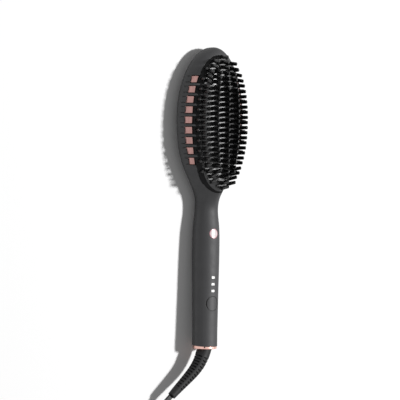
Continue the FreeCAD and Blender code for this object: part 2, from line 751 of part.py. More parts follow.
def make_casing(outer, inner):
    hollow = outer.cut(inner).cut(under_seam(0.15))
    below = under_split()
    back = hollow.common(below)
    below.translate(Vector(0, 0, PARTING_GAP))
    front = hollow.cut(below)

    # back shell: bosses with counterbores for the screws, posts for the board
    boss_radius = SCREW_HEAD_RADIUS + FIT_GAP + BOSS_WALL
    added = []
    removed = []
    for x, y in head_screw_places():
        added.append(post(x, y, -FAR_AWAY, HEAD_SCREW_TOP, boss_radius).common(body(CASING_WALL / 2)))
        removed.append(post(x, y, -FAR_AWAY, HEAD_SCREW_SEAT, SCREW_HEAD_RADIUS + FIT_GAP))
        removed.append(post(x, y, HEAD_SCREW_SEAT, HEAD_SCREW_TOP, SCREW_RADIUS + FIT_GAP))
    grip_boss_top = -SHOW_GAP / 2
    for y in GRIP_SCREW_Y:
        added.append(post(0, y, -FAR_AWAY, grip_boss_top, boss_radius).common(body(CASING_WALL / 2)))
        removed.append(post(0, y, -FAR_AWAY, GRIP_SCREW_SEAT, SCREW_HEAD_RADIUS + FIT_GAP))
        removed.append(post(0, y, GRIP_SCREW_SEAT, grip_boss_top, SCREW_RADIUS + FIT_GAP))
    board_under = BOARD_TOP - BOARD_THICKNESS
    for x, y in board_screw_places():
        added.append(post(x, y, -FAR_AWAY, board_under, BOARD_POST_RADIUS).common(body(CASING_WALL / 2)))
        removed.append(post(x, y, board_under - BOARD_SCREW_LENGTH, board_under, BOARD_SCREW_RADIUS))
    back = fuse([back] + added)
    back = back.cut(Part.makeCompound(removed))

    # front shell: face opening, windows, button hole, lens holes, badge seat, screw bosses
    grip_bosses = []
    pilots = []
    for y in GRIP_SCREW_Y:
        grip_bosses.append(post(0, y, SHOW_GAP / 2, FAR_AWAY, SCREW_RADIUS + BOSS_WALL).common(body(CASING_WALL / 2)))
        pilots.append(post(0, y, 0, GRIP_SCREW_BITE + FIT_GAP, SCREW_RADIUS))
    front = fuse([front] + grip_bosses)
    front = front.cut(oval_prism(0, 0, WINDOW_FLOOR_HEIGHT, FAR_AWAY).cut(bar_fingers(0.0)))
    front = front.cut(Part.makeCompound(window_prisms()))
    front = front.cut(Part.makeCompound(groove_prisms()).cut(body(GROOVE_DEPTH)))
    cuts = pilots
    cuts.append(post(0, BUTTON_Y, 0, FAR_AWAY, BUTTON_HOLE_RADIUS))
    for y in lens_places():
        half_x = LENS_WIDTH / 2 + FIT_GAP / 2
        half_y = LENS_LENGTH / 2 + FIT_GAP / 2
        cuts.append(rounded_box(-half_x, half_x, y - half_y, y + half_y, 0, FAR_AWAY, LENS_CORNER))
    seat = post(0, BADGE_Y, 0, FAR_AWAY, BADGE_RADIUS + FIT_GAP / 2).cut(body(BADGE_DEPTH))
    cuts.append(seat)
    front = front.cut(Part.makeCompound(cuts))
    return back, front


# ---------------------------------------------------------------- face of the head

def make_face(outer):
    frame_top = outer
    frame_bottom = body(PLATE_THICKNESS + PLATE_RECESS)
    ring = oval_prism(SHOW_GAP, SHOW_GAP, WINDOW_FLOOR_HEIGHT, FAR_AWAY)
    hole = oval_prism(LIP_HALF_WIDTH - PLATE_HALF_WIDTH, PLATE_END_MARGIN, 0, FAR_AWAY)
    frame = frame_top.cut(frame_bottom).common(ring).cut(hole).cut(bar_fingers(SHOW_GAP))

    plate_area = oval_prism(
        LIP_HALF_WIDTH - PLATE_HALF_WIDTH + FIT_GAP, PLATE_END_MARGIN + FIT_GAP, 0, FAR_AWAY)
    plate_top = body(PLATE_RECESS)
    dome = plate_top.cut(frame_bottom).common(plate_area)
    seat_start = (NECK_Y + LIP_NEAR + TIP_Y - LIP_FAR) / 2 - SEAT_LENGTH / 2
    seat = box(-SEAT_WIDTH / 2, SEAT_WIDTH / 2, seat_start, seat_start + SEAT_LENGTH, SEAT_HEIGHT, FAR_AWAY)
    seat = seat.common(body(PLATE_THICKNESS))
    post_bottom = SEAT_HEIGHT - HEATER_THICKNESS - MICA_THICKNESS
    posts = []
    holes = []
    screws = []
    for y in (seat_start + CLAMP_SCREW_INSET, seat_start + SEAT_LENGTH - CLAMP_SCREW_INSET):
        posts.append(post(0, y, post_bottom, SEAT_HEIGHT + 1, CLAMP_HEAD_RADIUS + 1))
        holes.append(post(0, y, post_bottom, SEAT_HEIGHT + 2, CLAMP_SCREW_RADIUS + FIT_GAP / 2))
        seat_z = post_bottom - CLAMP_THICKNESS
        head = post(0, y, seat_z - CLAMP_HEAD_HEIGHT, seat_z, CLAMP_HEAD_RADIUS)
        shank = post(0, y, seat_z, SEAT_HEIGHT + 1.5, CLAMP_SCREW_RADIUS)
        screws.append(fuse([head, shank]))
    plate = fuse([dome, seat] + posts).cut(Part.makeCompound(holes))

    middle = seat_start + SEAT_LENGTH / 2
    half = HEATER_LENGTH / 2
    wide = HEATER_WIDTH / 2
    heater = box(-wide, wide, middle - half, middle + half, SEAT_HEIGHT - HEATER_THICKNESS, SEAT_HEIGHT)
    mica = box(
        -wide - 1, wide + 1, middle - half - 2, middle + half + 2,
        post_bottom, post_bottom + MICA_THICKNESS)
    clamp = box(
        -CLAMP_WIDTH / 2, CLAMP_WIDTH / 2, seat_start, seat_start + SEAT_LENGTH,
        post_bottom - CLAMP_THICKNESS, post_bottom)
    clamp = clamp.cut(Part.makeCompound([
        post(0, seat_start + CLAMP_SCREW_INSET, 0, FAR_AWAY, CLAMP_SCREW_RADIUS + FIT_GAP),
        post(0, seat_start + SEAT_LENGTH - CLAMP_SCREW_INSET, 0, FAR_AWAY, CLAMP_SCREW_RADIUS + FIT_GAP),
    ]))

    sensor_x = SEAT_WIDTH / 2 - THERMISTOR_RADIUS - 1
    thermistor = Part.makeCylinder(
        THERMISTOR_RADIUS, THERMISTOR_LENGTH,
        Vector(sensor_x, middle - half - THERMISTOR_LENGTH - 2.5, SEAT_HEIGHT - THERMISTOR_RADIUS - FIT_GAP),
        Vector(0, 1, 0))
    fuse_body = Part.makeCylinder(
        FUSE_RADIUS, FUSE_LENGTH,
        Vector(-sensor_x, middle - half - FUSE_LENGTH - 2.5, SEAT_HEIGHT - FUSE_RADIUS - FIT_GAP),
        Vector(0, 1, 0))

    carrier_top = body(PLATE_THICKNESS + PLATE_RECESS + FIT_GAP)
    carrier_bottom = body(PLATE_THICKNESS + PLATE_RECESS + FIT_GAP + CARRIER_THICKNESS)
    carrier_area = oval_prism(CARRIER_THICKNESS, CARRIER_THICKNESS, HEAD_SCREW_TOP - 2, FAR_AWAY)
    carrier_hole = oval_prism(
        LIP_HALF_WIDTH - PLATE_HALF_WIDTH + CARRIER_LEDGE, PLATE_END_MARGIN + CARRIER_LEDGE, 0, FAR_AWAY)
    carrier = carrier_top.cut(carrier_bottom).common(carrier_area).cut(carrier_hole)
    legs = []
    leg_holes = []
    for x, y in head_screw_places():
        legs.append(post(x, y, HEAD_SCREW_TOP, FAR_AWAY, SCREW_RADIUS + BOSS_WALL).common(
            body(PLATE_THICKNESS + PLATE_RECESS + FIT_GAP + CARRIER_THICKNESS / 2)))
        leg_holes.append(post(x, y, HEAD_SCREW_TOP, HEAD_SCREW_TOP + HEAD_SCREW_BITE, SCREW_RADIUS + FIT_GAP / 2))
    carrier = fuse([carrier] + legs).cut(Part.makeCompound(leg_holes))
    return {
        "bristle_frame": frame,
        "heater_plate": plate,
        "ptc_heater": heater,
        "heater_insulator": mica,
        "heater_clamp": clamp,
        "clamp_screws": Part.makeCompound(screws),
        "thermistor": thermistor,
        "thermal_fuse": fuse_body,
        "plate_carrier": carrier,
    }


def make_vent_trims():
    inside = body(CASING_WALL + VENT_GAP)
    layer = inside.cut(body(CASING_WALL + VENT_GAP + VENT_THICKNESS))
    pads = body(PAD_DEPTH).cut(body(CASING_WALL + VENT_GAP + VENT_THICKNESS / 2))
    start = NECK_Y + WINDOW_FIRST - WINDOW_LENGTH / 2 - VENT_MARGIN
    end = start + (WINDOW_COUNT - 1) * WINDOW_PITCH + WINDOW_LENGTH + 2 * VENT_MARGIN
    trims = {}
    for name, side in (("vent_trim_left", -1), ("vent_trim_right", 1)):
        region = box(0, FAR_AWAY, start, end, HEAD_SPLIT_HEIGHT + 2, FAR_AWAY)
        region = region.cut(oval_prism(0, 0, 0, FAR_AWAY)).cut(Part.makeCompound(gap_prisms()))
        piece = fuse([layer.common(region)] + [pad.common(pads) for pad in pad_prisms()])
        if side < 0:
            piece = piece.mirror(Vector(0, 0, 0), Vector(1, 0, 0))
        trims[name] = piece
    return trims


def bristle_grid():
    """Places of the bristles on the plate: x, y and the spacing of their row, in alternate rows."""
    first = NECK_Y + ROW_FIRST
    pitch = WINDOW_PITCH / ROWS_PER_WINDOW
    long_rows = []
    short_rows = []
    for j in range(-ROWS_BEFORE, ROWS_IN_ALL - ROWS_BEFORE):
        y = first + j * pitch
        rise = abs(ROW_SLANT) * plate_half_width_at(y)
        limit = min(plate_half_width_at(y - rise), plate_half_width_at(y + rise)) - COLUMN_LIMIT_MARGIN
        if limit <= 0:
            continue
        columns = min(COLUMNS_A_SIDE, int(limit / COLUMN_LEAST_SPACING))
        spacing = min(COLUMN_PITCH, limit / max(columns, 1)) if columns else COLUMN_PITCH
        row = [(m * spacing, y + ROW_SLANT * m * spacing, spacing) for m in range(-columns, columns + 1)]
        (long_rows if j % 2 else short_rows).append(row)
    return long_rows, short_rows


def bristle_lean(x, y):
    """Direction of a bristle: fanned out across, and outwards near both ends."""
    middle = WIDEST_Y - LIP_WIDEST
    reach = (y - middle) / (HEAD_FAR_LENGTH if y > middle else HEAD_NEAR_LENGTH)
    return lean_direction(x * BRISTLE_SPLAY, BRISTLE_END_LEAN_DEG * reach ** 3)


def lean_direction(across_deg, along_deg):
    across = math.tan(math.radians(across_deg))
    along = math.tan(math.radians(along_deg))
    return Vector(across, along, 1).normalize()


def fin_prism(length, bottom, top):
    """A fin with bowed sides and blunt ends, long across the head."""
    far_left = Vector(-length / 2, FIN_END_WIDTH / 2, bottom)
    far_right = Vector(length / 2, FIN_END_WIDTH / 2, bottom)
    near_right = Vector(length / 2, -FIN_END_WIDTH / 2, bottom)
    near_left = Vector(-length / 2, -FIN_END_WIDTH / 2, bottom)
    edges = [
        Part.Arc(far_left, Vector(0, FIN_WIDTH / 2, bottom), far_right).toShape(),
        Part.LineSegment(far_right, near_right).toShape(),
        Part.Arc(near_right, Vector(0, -FIN_WIDTH / 2, bottom), near_left).toShape(),
        Part.LineSegment(near_left, far_left).toShape(),
    ]
    return Part.Face(Part.Wire(edges)).extrude(Vector(0, 0, top - bottom))


def slot_outline(size, z):
    """A slot shape with round ends: its long side along Y, its width across."""
    along, across = size
    r = across / 2
    half_flat = along / 2 - r
    edges = [
        Part.LineSegment(Vector(r, -half_flat, z), Vector(r, half_flat, z)).toShape(),
        Part.Arc(Vector(r, half_flat, z), Vector(0, half_flat + r, z), Vector(-r, half_flat, z)).toShape(),
        Part.LineSegment(Vector(-r, half_flat, z), Vector(-r, -half_flat, z)).toShape(),
        Part.Arc(Vector(-r, -half_flat, z), Vector(0, -half_flat - r, z), Vector(r, -half_flat, z)).toShape(),
    ]
    return Part.Wire(edges)


def blade(root, tip, length):
    """A tapering bristle, wide along the head and thin across it, standing on Z = 0."""
    end = (tip[0] - 2 * TIP_ROUND, tip[1] - 2 * TIP_ROUND)
    rings = [slot_outline(root, 0), slot_outline(tip, length - TIP_ROUND), slot_outline(end, length)]
    return Part.makeLoft(rings, True, True)


def make_bristles(plate_top, outer):
    long_rows, short_rows = bristle_grid()
    stem = blade(BRISTLE_ROOT, BRISTLE_TIP, BRISTLE_LENGTH - FIN_HEIGHT + SINK)
    plate_room = oval_prism(FRAME_WIDTH + SHOW_GAP, PLATE_END_MARGIN + SHOW_GAP, 0, FAR_AWAY)
    fins = []
    made = {"long_bristles": [], "short_bristles": []}
    for name, rows in (("long_bristles", long_rows), ("short_bristles", short_rows)):
        for row in rows:
            for x, y, spacing in row:
                foot = Vector(x, y, drop_to(plate_top, x, y, FAR_AWAY))
                direction = bristle_lean(x, y)
                fin = fin_prism(spacing - FIN_END_GAP, -FIN_ROOT, FIN_HEIGHT)
                standing = placed(fin, foot, direction, (0, 1, 0))
                edge = min(plate_half_width_at(y - FIN_WIDTH / 2), plate_half_width_at(y + FIN_WIDTH / 2))
                if abs(x) + spacing / 2 > edge - 2 * SHOW_GAP:
                    standing = standing.common(plate_room)
                fins.append(standing)
                made[name].append(placed(stem, foot + direction * (FIN_HEIGHT - SINK), direction, (0, 1, 0)))
    guards = []
    guard = blade(GUARD_ROOT, GUARD_TIP, GUARD_LENGTH + GUARD_SINK)
    for k in range(-GUARD_EXTRA, WINDOW_COUNT + GUARD_EXTRA):
        y = NECK_Y + WINDOW_FIRST + k * WINDOW_PITCH
        x = (plate_half_width_at(y) + lip_half_width_at(y)) / 2
        for side in (-1, 1):
            foot = Vector(side * x, y, drop_to(outer, side * x, y, FAR_AWAY))
            direction = lean_direction(side * GUARD_SPLAY_DEG, 0)
            guards.append(placed(guard, foot - direction * GUARD_SINK, direction, (0, 1, 0)))
    return {
        "heater_fins": Part.makeCompound(fins),
        "long_bristles": Part.makeCompound(made["long_bristles"]),
        "short_bristles": Part.makeCompound(made["short_bristles"]),
        "outer_bristles": Part.makeCompound(guards),
    }


# ---------------------------------------------------------------- handle: button, board, lenses

def make_controls(outer):
    cap_radius = BUTTON_HOLE_RADIUS - SHOW_GAP
    cap = post(0, BUTTON_Y, BUTTON_FOOT, FAR_AWAY, cap_radius).common(outer)
    tab_across, tab_past, tab_thick = BUTTON_TAB
    tab = box(
        -tab_across / 2, tab_across / 2, BUTTON_Y - cap_radius - tab_past, BUTTON_Y + cap_radius + tab_past,
        BUTTON_FOOT - tab_thick * 0.6, BUTTON_FOOT + tab_thick * 0.4)
    switch_top = BOARD_TOP + SWITCH_HEIGHT
    plunger_top = switch_top + PLUNGER_SHOWS
    stem = post(0, BUTTON_Y, plunger_top, BUTTON_FOOT, STEM_RADIUS)
    button = fuse([cap, tab, stem])
    plunger = post(0, BUTTON_Y, plunger_top - PLUNGER_HEIGHT, plunger_top, PLUNGER_RADIUS)
    half = SWITCH_SIDE / 2
    switch = box(-half, half, BUTTON_Y - half, BUTTON_Y + half, BOARD_TOP, switch_top)
    well_depth = PLUNGER_HEIGHT - PLUNGER_SHOWS + BUTTON_TRAVEL + FIT_GAP
    switch = switch.cut(post(0, BUTTON_Y, switch_top - well_depth, switch_top, PLUNGER_RADIUS + FIT_GAP))

    board = box(
        -BOARD_WIDTH / 2, BOARD_WIDTH / 2, BOARD_START, BOARD_START + BOARD_LENGTH,
        BOARD_TOP - BOARD_THICKNESS, BOARD_TOP)
    board_screws = []
    for x, y in board_screw_places():
        board = board.cut(post(x, y, 0, BOARD_TOP, BOARD_SCREW_RADIUS + FIT_GAP))
        head = post(x, y, BOARD_TOP, BOARD_TOP + BOARD_SCREW_HEAD[1], BOARD_SCREW_HEAD[0])
        shank_bottom = BOARD_TOP - BOARD_THICKNESS - BOARD_SCREW_LENGTH + FIT_GAP
        shank = post(x, y, shank_bottom, BOARD_TOP, BOARD_SCREW_RADIUS - FIT_GAP / 2)
        board_screws.append(fuse([head, shank]))

    lenses = []
    leds = []
    for y in lens_places():
        led_x, led_y, led_z = LED_SIZE
        leds.append(box(-led_x / 2, led_x / 2, y - led_y / 2, y + led_y / 2, BOARD_TOP, BOARD_TOP + led_z))
        half_x = LENS_WIDTH / 2
        half_y = LENS_LENGTH / 2
        bottom = BOARD_TOP + led_z + LENS_OVER_LED
        block = rounded_box(-half_x, half_x, y - half_y, y + half_y, bottom, FAR_AWAY, LENS_CORNER)
        lenses.append(block.common(outer))

    under = BOARD_TOP - BOARD_THICKNESS
    parts = []
    for half_wide, start, end, height in BOARD_PARTS:
        bottom, top = (BOARD_TOP, BOARD_TOP + height) if height > 0 else (under + height, under)
        parts.append(box(-half_wide, half_wide, BOARD_START + start, BOARD_START + end, bottom, top))
    badge = post(0, BADGE_Y, 0, FAR_AWAY, BADGE_RADIUS).common(body(-BADGE_PROUD)).cut(body(BADGE_DEPTH))
    return {
        "power_button": button,
        "switch_plunger": plunger,
        "tact_switch": switch,
        "control_board": board,
        "board_screws": Part.makeCompound(board_screws),
        "board_parts": Part.makeCompound(parts),
        "leds": Part.makeCompound(leds),
        "led_lenses": Part.makeCompound(lenses),
        "badge_disc": badge,
    }


# ---------------------------------------------------------------- end ring and swivel

def make_swivel():
    ring_radius = END_RADIUS - RING_STEP
    spigot_radius = END_RADIUS - CASING_WALL - FIT_GAP
    band = barrel(0, RING_HEIGHT * 3, ring_radius)
    band = band.makeFillet(RING_ROUND, [e for e in band.Edges if abs(e.BoundBox.YMax) < 1e-6])
    band = band.common(under_seam(0.0))
    spigot_end = RING_HEIGHT + SPIGOT_LENGTH
    spigot = barrel(RING_LIP, spigot_end, spigot_radius)
    ring = fuse([band, spigot])
    cavity_radius = spigot_radius - SPIGOT_WALL
    ring = ring.cut(barrel(-1, RING_LIP + 1, BARREL_RADIUS + BARREL_PLAY))
    ring = ring.cut(barrel(RING_LIP, spigot_end + 1, cavity_radius))

    angle = math.radians(PIN_ANGLE_DEG)
    outward = Vector(-math.sin(angle), 0, math.cos(angle))
    pin_base = outward * (ring_radius - PIN_SINK - PIN_LENGTH) + Vector(0, PIN_Y, 0)
    ring_hole = Part.makeCylinder(PIN_RADIUS + FIT_GAP / 2, PIN_LENGTH + PIN_SINK + 1, pin_base, outward)
    ring = ring.cut(ring_hole)
    ring_pin = Part.makeCylinder(PIN_RADIUS, PIN_LENGTH, pin_base, outward)

    flange_radius, flange_thickness = BARREL_FLANGE
    flange_start = RING_LIP + SWIVEL_PLAY
    flange_end = flange_start + flange_thickness
    core = fuse([
        barrel(SWIVEL_PLAY, flange_start, BARREL_RADIUS),
        barrel(flange_start, flange_end, flange_radius),
        barrel(flange_end, BARREL_LENGTH, BARREL_CORE_RADIUS),
    ])
    core = core.cut(barrel(0, BARREL_LENGTH - 3, BARREL_BORE_RADIUS))
    rings = []
    ring_outer, ring_width = SLIP_RING
    for y in SLIP_RING_Y:
        rings.append(barrel(y, y + ring_width, ring_outer).cut(barrel(y, y + ring_width, BARREL_CORE_RADIUS)))

    nose_start = flange_end + SWIVEL_PLAY
    nose = barrel(nose_start, spigot_end + SWIVEL_PLAY, cavity_radius - FIT_GAP)
    block = barrel(spigot_end + SWIVEL_PLAY, spigot_end + SWIVEL_PLAY + HOUSING_LENGTH - SPIGOT_LENGTH - RING_HEIGHT, spigot_radius - FIT_GAP)
    housing = fuse([nose, block])
    room = spigot_radius - FIT_GAP - HOUSING_WALL
    block_start = spigot_end + SWIVEL_PLAY + HOUSING_WALL
    housing_end = block.BoundBox.YMax
    housing = housing.cut(barrel(block_start, housing_end - HOUSING_WALL, room))
    housing = housing.cut(barrel(0, block_start + 1, BARREL_CORE_RADIUS + SWIVEL_PLAY))
    for side in (-1, 1):
        opening = Part.makeCylinder(
            WIRE_RADIUS + FIT_GAP, HOUSING_WALL * 3, Vector(side * 6.5, housing_end - HOUSING_WALL * 2, -1.0), Vector(0, 1, 0))
        housing = housing.cut(opening)
    springs = []
    spring_across, spring_along = SPRING_SIZE
    for y in SLIP_RING_Y:
        middle = y + ring_width / 2
        springs.append(box(
            -spring_across / 2, spring_across / 2, middle - spring_along / 2, middle + spring_along / 2,
            ring_outer + SWIVEL_PLAY, room + FIT_GAP * 2))
    return {
        "end_ring": ring,
        "ring_pin": ring_pin,
        "swivel_barrel": core,
        "contact_rings": Part.makeCompound(rings),
        "swivel_housing": housing,
        "contact_springs": Part.makeCompound(springs),
    }, housing_end


# ---------------------------------------------------------------- strain relief

def boot_curve():
    curve = Part.BSplineCurve()
    curve.interpolate(Points=[Vector(*p) for p in BOOT_ROUTE])
    return curve


def make_boot():
    curve = boot_curve()
    length = curve.length()
    stations = 15
    rings = []
    for k in range(stations):
        travelled = length * k / (stations - 1)
        parameter = curve.parameterAtDistance(travelled)
        centre = curve.value(parameter)
        along = Vector(*curve.tangent(parameter)[0])
        if k == 0:
            along = Vector(0, -1, 0)
        taper = max(0.0, (travelled - BOOT_COLLAR) / (length - BOOT_COLLAR))
        radius = between(BOOT_ROOT_RADIUS, BOOT_END_RADIUS, taper)
        rings.append(Part.Wire(Part.Circle(centre, along, radius).toShape()))
    boot = Part.makeLoft(rings, True, False)
    boot = boot.cut(box(-FAR_AWAY, FAR_AWAY, -BOOT_GAP, FAR_AWAY, -FAR_AWAY, FAR_AWAY))
    cutters = []
    web = math.radians(BOOT_WEB_ANGLE_DEG)
    web_out = Vector(-math.sin(web), 0, math.cos(web))
    for k in range(BOOT_SLOTS):
        travelled = BOOT_SLOT_FIRST + k * BOOT_SLOT_PITCH
        parameter = curve.parameterAtDistance(travelled)
        centre = curve.value(parameter)
        along = Vector(*curve.tangent(parameter)[0])
        taper = max(0.0, (travelled - BOOT_COLLAR) / (length - BOOT_COLLAR))
        radius = between(BOOT_ROOT_RADIUS, BOOT_END_RADIUS, taper)
        start = centre - along * (BOOT_SLOT_WIDTH / 2)
        disc = Part.makeCylinder(radius + 2, BOOT_SLOT_WIDTH, start, along)
        disc = disc.cut(Part.makeCylinder(radius * BOOT_CORE_SHARE, BOOT_SLOT_WIDTH, start, along))
        keep = Part.makeBox(BOOT_WEB, 4 * radius, BOOT_SLOT_WIDTH + 2, Vector(-BOOT_WEB / 2, -2 * radius, -1))
        disc = disc.cut(placed(keep, start, along, web_out))
        cutters.append(disc)
    boot = boot.cut(Part.makeCompound(cutters))
    neck = Part.makeCylinder(BARREL_BORE_RADIUS - FIT_GAP / 2, 6 + BOOT_GAP, Vector(0, -BOOT_GAP, 0), Vector(0, 1, 0))
    return fuse([boot, neck])


# ---------------------------------------------------------------- cord, coil, tie and plug

def from_floor(points):
    return [(x, y, height - AXIS_HEIGHT) for x, y, height in points]


def make_cord_end():
    lead, lead_length, lead_radii = flat_cord(from_floor(LEAD_ROUTE))
    tail, tail_length, tail_radii = flat_cord(from_floor(TAIL_ROUTE))
    section = CORD_THICKNESS * (CORD_WIDTH - CORD_THICKNESS) + math.pi * CORD_THICKNESS ** 2 / 4
    for name, shape, length, radii in (("lead", lead, lead_length, lead_radii), ("tail", tail, tail_length, tail_radii)):
        print(f"{name}: length {length:.1f}, volume {shape.Volume:.1f}, section times length {section * length:.1f}")
        print("  radii", [round(r, 1) for r in radii])

    floor = -AXIS_HEIGHT
    half_bundle = COIL_COLUMNS * COIL_PITCH[0] / 2
    height = COIL_LAYERS * COIL_PITCH[1]
    centre = Vector(COIL_CENTRE[0], COIL_CENTRE[1], floor + COIL_LIFT)
    ring = Part.makeCylinder(COIL_RADIUS + half_bundle, height, centre)
    ring = ring.cut(Part.makeCylinder(COIL_RADIUS - half_bundle, height, centre))
    ring = ring.makeFillet(COIL_ROUND, [e for e in ring.Edges if e.BoundBox.ZLength < 1e-6])

    reach = COIL_RADIUS + half_bundle + TIE_THICKNESS + SHOW_GAP
    bore = COIL_RADIUS - half_bundle
    inner = math.sqrt(bore ** 2 - TIE_WIDTH ** 2 / 4) - TIE_THICKNESS - SHOW_GAP
    strand = TIE_THICKNESS + FIT_GAP
    outside = box(inner, reach, -TIE_WIDTH / 2, TIE_WIDTH / 2, -COIL_LIFT, height + strand)
    inside = box(
        inner + TIE_THICKNESS, reach - TIE_THICKNESS, -TIE_WIDTH, TIE_WIDTH,
        TIE_THICKNESS - COIL_LIFT, height + FIT_GAP)
    tie = outside.cut(inside)
    tie.rotate(Vector(0, 0, 0), Vector(0, 0, 1), TIE_ANGLE_DEG)
    tie.translate(centre)

    end = Vector(*from_floor(TAIL_ROUTE)[-1])
    relief_length, thin, thick = PLUG_RELIEF
    relief = Part.makeCone(thin, thick, relief_length, end, Vector(0, -1, 0))
    across, long, high = PLUG_BODY
    body_start = end.y - relief_length
    plug = box(end.x - across / 2, end.x + across / 2, body_start - long, body_start, floor, floor + high)
    plug = plug.makeFillet(PLUG_ROUND, [e for e in plug.Edges if e.BoundBox.YLength > long - 1e-6])
    thick_blade, long_blade, high_blade = BLADE
    blades = []
    for side in (-1, 1):
        x = end.x + side * BLADE_SPACING / 2
        front = body_start - long
        blades.append(box(
            x - thick_blade / 2, x + thick_blade / 2, front - long_blade, front + BLADE_ROOT,
            end.z - high_blade / 2, end.z + high_blade / 2))
        plug = plug.cut(blades[-1])
    return {
        "cord": Part.makeCompound([lead, tail]),
        "cord_coil": ring,
        "cord_tie": tie,
        "plug_relief": relief,
        "plug_body": plug,
        "plug_blades": Part.makeCompound(blades),
    }


# ---------------------------------------------------------------- wires inside

def make_wires(housing_end, heater_end):
    board_under = BOARD_TOP - BOARD_THICKNESS
    board_end = BOARD_START + BOARD_LENGTH
    heater_level = SEAT_HEIGHT - HEATER_THICKNESS / 2
    sensor_x = SEAT_WIDTH / 2 - THERMISTOR_RADIUS - 1
    fuse_end = heater_end - 2.5 - FUSE_LENGTH
    fuse_level = SEAT_HEIGHT - FUSE_RADIUS - FIT_GAP
    sensor_end = heater_end - 2.5 - THERMISTOR_LENGTH
    sensor_level = SEAT_HEIGHT - THERMISTOR_RADIUS - FIT_GAP
    mains = []
    for side in (-1, 1):
        mains.append(wire_run([
            (side * 6.5, housing_end - HOUSING_WALL, -1.0),
            (side * 6.5, housing_end + 4.0, -1.1),
            (side * 6.7, housing_end + 10.0, -1.6),
            (side * 6.8, BOARD_START + 4.0, -1.2),
            (side * 6.8, BOARD_START + 6.0, board_under + 0.2),
        ], WIRE_RADIUS))
    heater = [
        wire_run([
            (7.2, board_end - 6.0, board_under + 0.2),
            (7.2, board_end - 3.5, -1.4),
            (7.0, board_end + 9.0, -1.8),
            (6.6, NECK_Y - 6.0, -1.0),
            (6.0, CARRIER_HOLE_Y - 6.0, 3.0),
            (5.3, CARRIER_HOLE_Y + 7.0, 11.6),
            (5.3, CARRIER_HOLE_Y + 18.0, heater_level),
            (5.3, heater_end + 0.3, heater_level),
        ], WIRE_RADIUS),
        wire_run([
            (-7.2, board_end - 6.0, board_under + 0.2),
            (-7.2, board_end - 3.5, -1.4),
            (-7.0, board_end + 9.0, -1.8),
            (-6.6, NECK_Y - 6.0, -1.0),
            (-6.6, CARRIER_HOLE_Y - 10.0, 2.6),
            (-sensor_x, CARRIER_HOLE_Y + 5.0, 11.2),
            (-sensor_x, fuse_end + 0.3, fuse_level),
        ], WIRE_RADIUS),
        Part.makeCylinder(
            WIRE_RADIUS, heater_end - fuse_end - FUSE_LENGTH + 0.6,
            Vector(-sensor_x, fuse_end + FUSE_LENGTH - 0.3, heater_level), Vector(0, 1, 0)),
    ]
    sensor = []
    for side in (-1, 1):
        sensor.append(wire_run([
            (4.6 + side * 0.8, board_end - 2.0, BOARD_TOP - 0.2),
            (4.6 + side * 0.8, board_end, BOARD_TOP + 2.2),
            (5.4 + side * 0.8, board_end + 12.0, 4.2),
            (5.2 + side * 0.8, NECK_Y - 8.0, 4.4),
            (5.6 + side * 0.8, CARRIER_HOLE_Y - 12.0, 6.2),
            (sensor_x + side * 0.8, CARRIER_HOLE_Y + 7.5, 12.4),
            (sensor_x + side * 0.8, sensor_end + 0.3, sensor_level),
        ], SENSOR_WIRE_RADIUS))
    return {
        "mains_wires": Part.makeCompound(mains),
        "heater_wires": Part.makeCompound(heater),
        "sensor_wires": Part.makeCompound(sensor),
    }


def make_casing_screws():
    head = [screw(x, y, HEAD_SCREW_SEAT, HEAD_SCREW_TOP + HEAD_SCREW_BITE - FIT_GAP) for x, y in head_screw_places()]
    grip = [screw(0, y, GRIP_SCREW_SEAT, GRIP_SCREW_BITE) for y in GRIP_SCREW_Y]
    return {"head_screws": Part.makeCompound(head), "handle_screws": Part.makeCompound(grip)}


def main():
    os.makedirs("parts", exist_ok=True)
    outer = body(0.0)
    back, front = make_casing(outer, body(CASING_WALL))
    pieces = {"back_shell": back, "front_shell": front}
    face = make_face(outer)
    pieces.update(face)
    pieces.update(make_vent_trims())
    pieces.update(make_bristles(body(PLATE_RECESS), outer))
    pieces.update(make_controls(outer))
    swivel, housing_end = make_swivel()
    pieces.update(swivel)
    pieces["strain_relief"] = make_boot()
    pieces.update(make_wires(housing_end, face["ptc_heater"].BoundBox.YMin))
    pieces.update(make_casing_screws())
    for name, shape in pieces.items():
        save(name, shape, REST_TILT_DEG)
    for name, shape in make_cord_end().items():
        save(name, shape, 0.0)
    print(f"tilt {REST_TILT_DEG:.4f} deg, axis {AXIS_HEIGHT:.4f} above the table at the middle of the length")


main()
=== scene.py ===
import json
import math

import bmesh
import bpy
from mathutils import Matrix, Vector


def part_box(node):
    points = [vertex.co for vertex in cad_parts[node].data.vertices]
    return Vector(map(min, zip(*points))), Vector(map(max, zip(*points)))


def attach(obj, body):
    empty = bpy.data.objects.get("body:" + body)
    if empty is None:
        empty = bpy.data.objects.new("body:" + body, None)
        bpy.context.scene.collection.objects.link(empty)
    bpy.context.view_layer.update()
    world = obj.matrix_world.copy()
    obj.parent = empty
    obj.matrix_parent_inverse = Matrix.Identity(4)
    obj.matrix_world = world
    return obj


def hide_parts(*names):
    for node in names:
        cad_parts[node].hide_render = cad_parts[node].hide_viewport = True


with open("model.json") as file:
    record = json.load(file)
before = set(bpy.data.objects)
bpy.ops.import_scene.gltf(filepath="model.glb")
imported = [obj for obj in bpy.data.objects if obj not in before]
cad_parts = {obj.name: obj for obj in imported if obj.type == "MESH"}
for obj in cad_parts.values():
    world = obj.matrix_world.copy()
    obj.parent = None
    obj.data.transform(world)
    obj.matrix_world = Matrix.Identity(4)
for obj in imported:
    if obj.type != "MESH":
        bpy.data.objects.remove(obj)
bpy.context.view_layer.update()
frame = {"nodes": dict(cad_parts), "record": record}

# A heated straightening brush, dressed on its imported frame. Metres, +Y towards the head's tip,
# +Z up, the brush on its back on the floor.

# ---------------------------------------------------------------- camera, floor and light

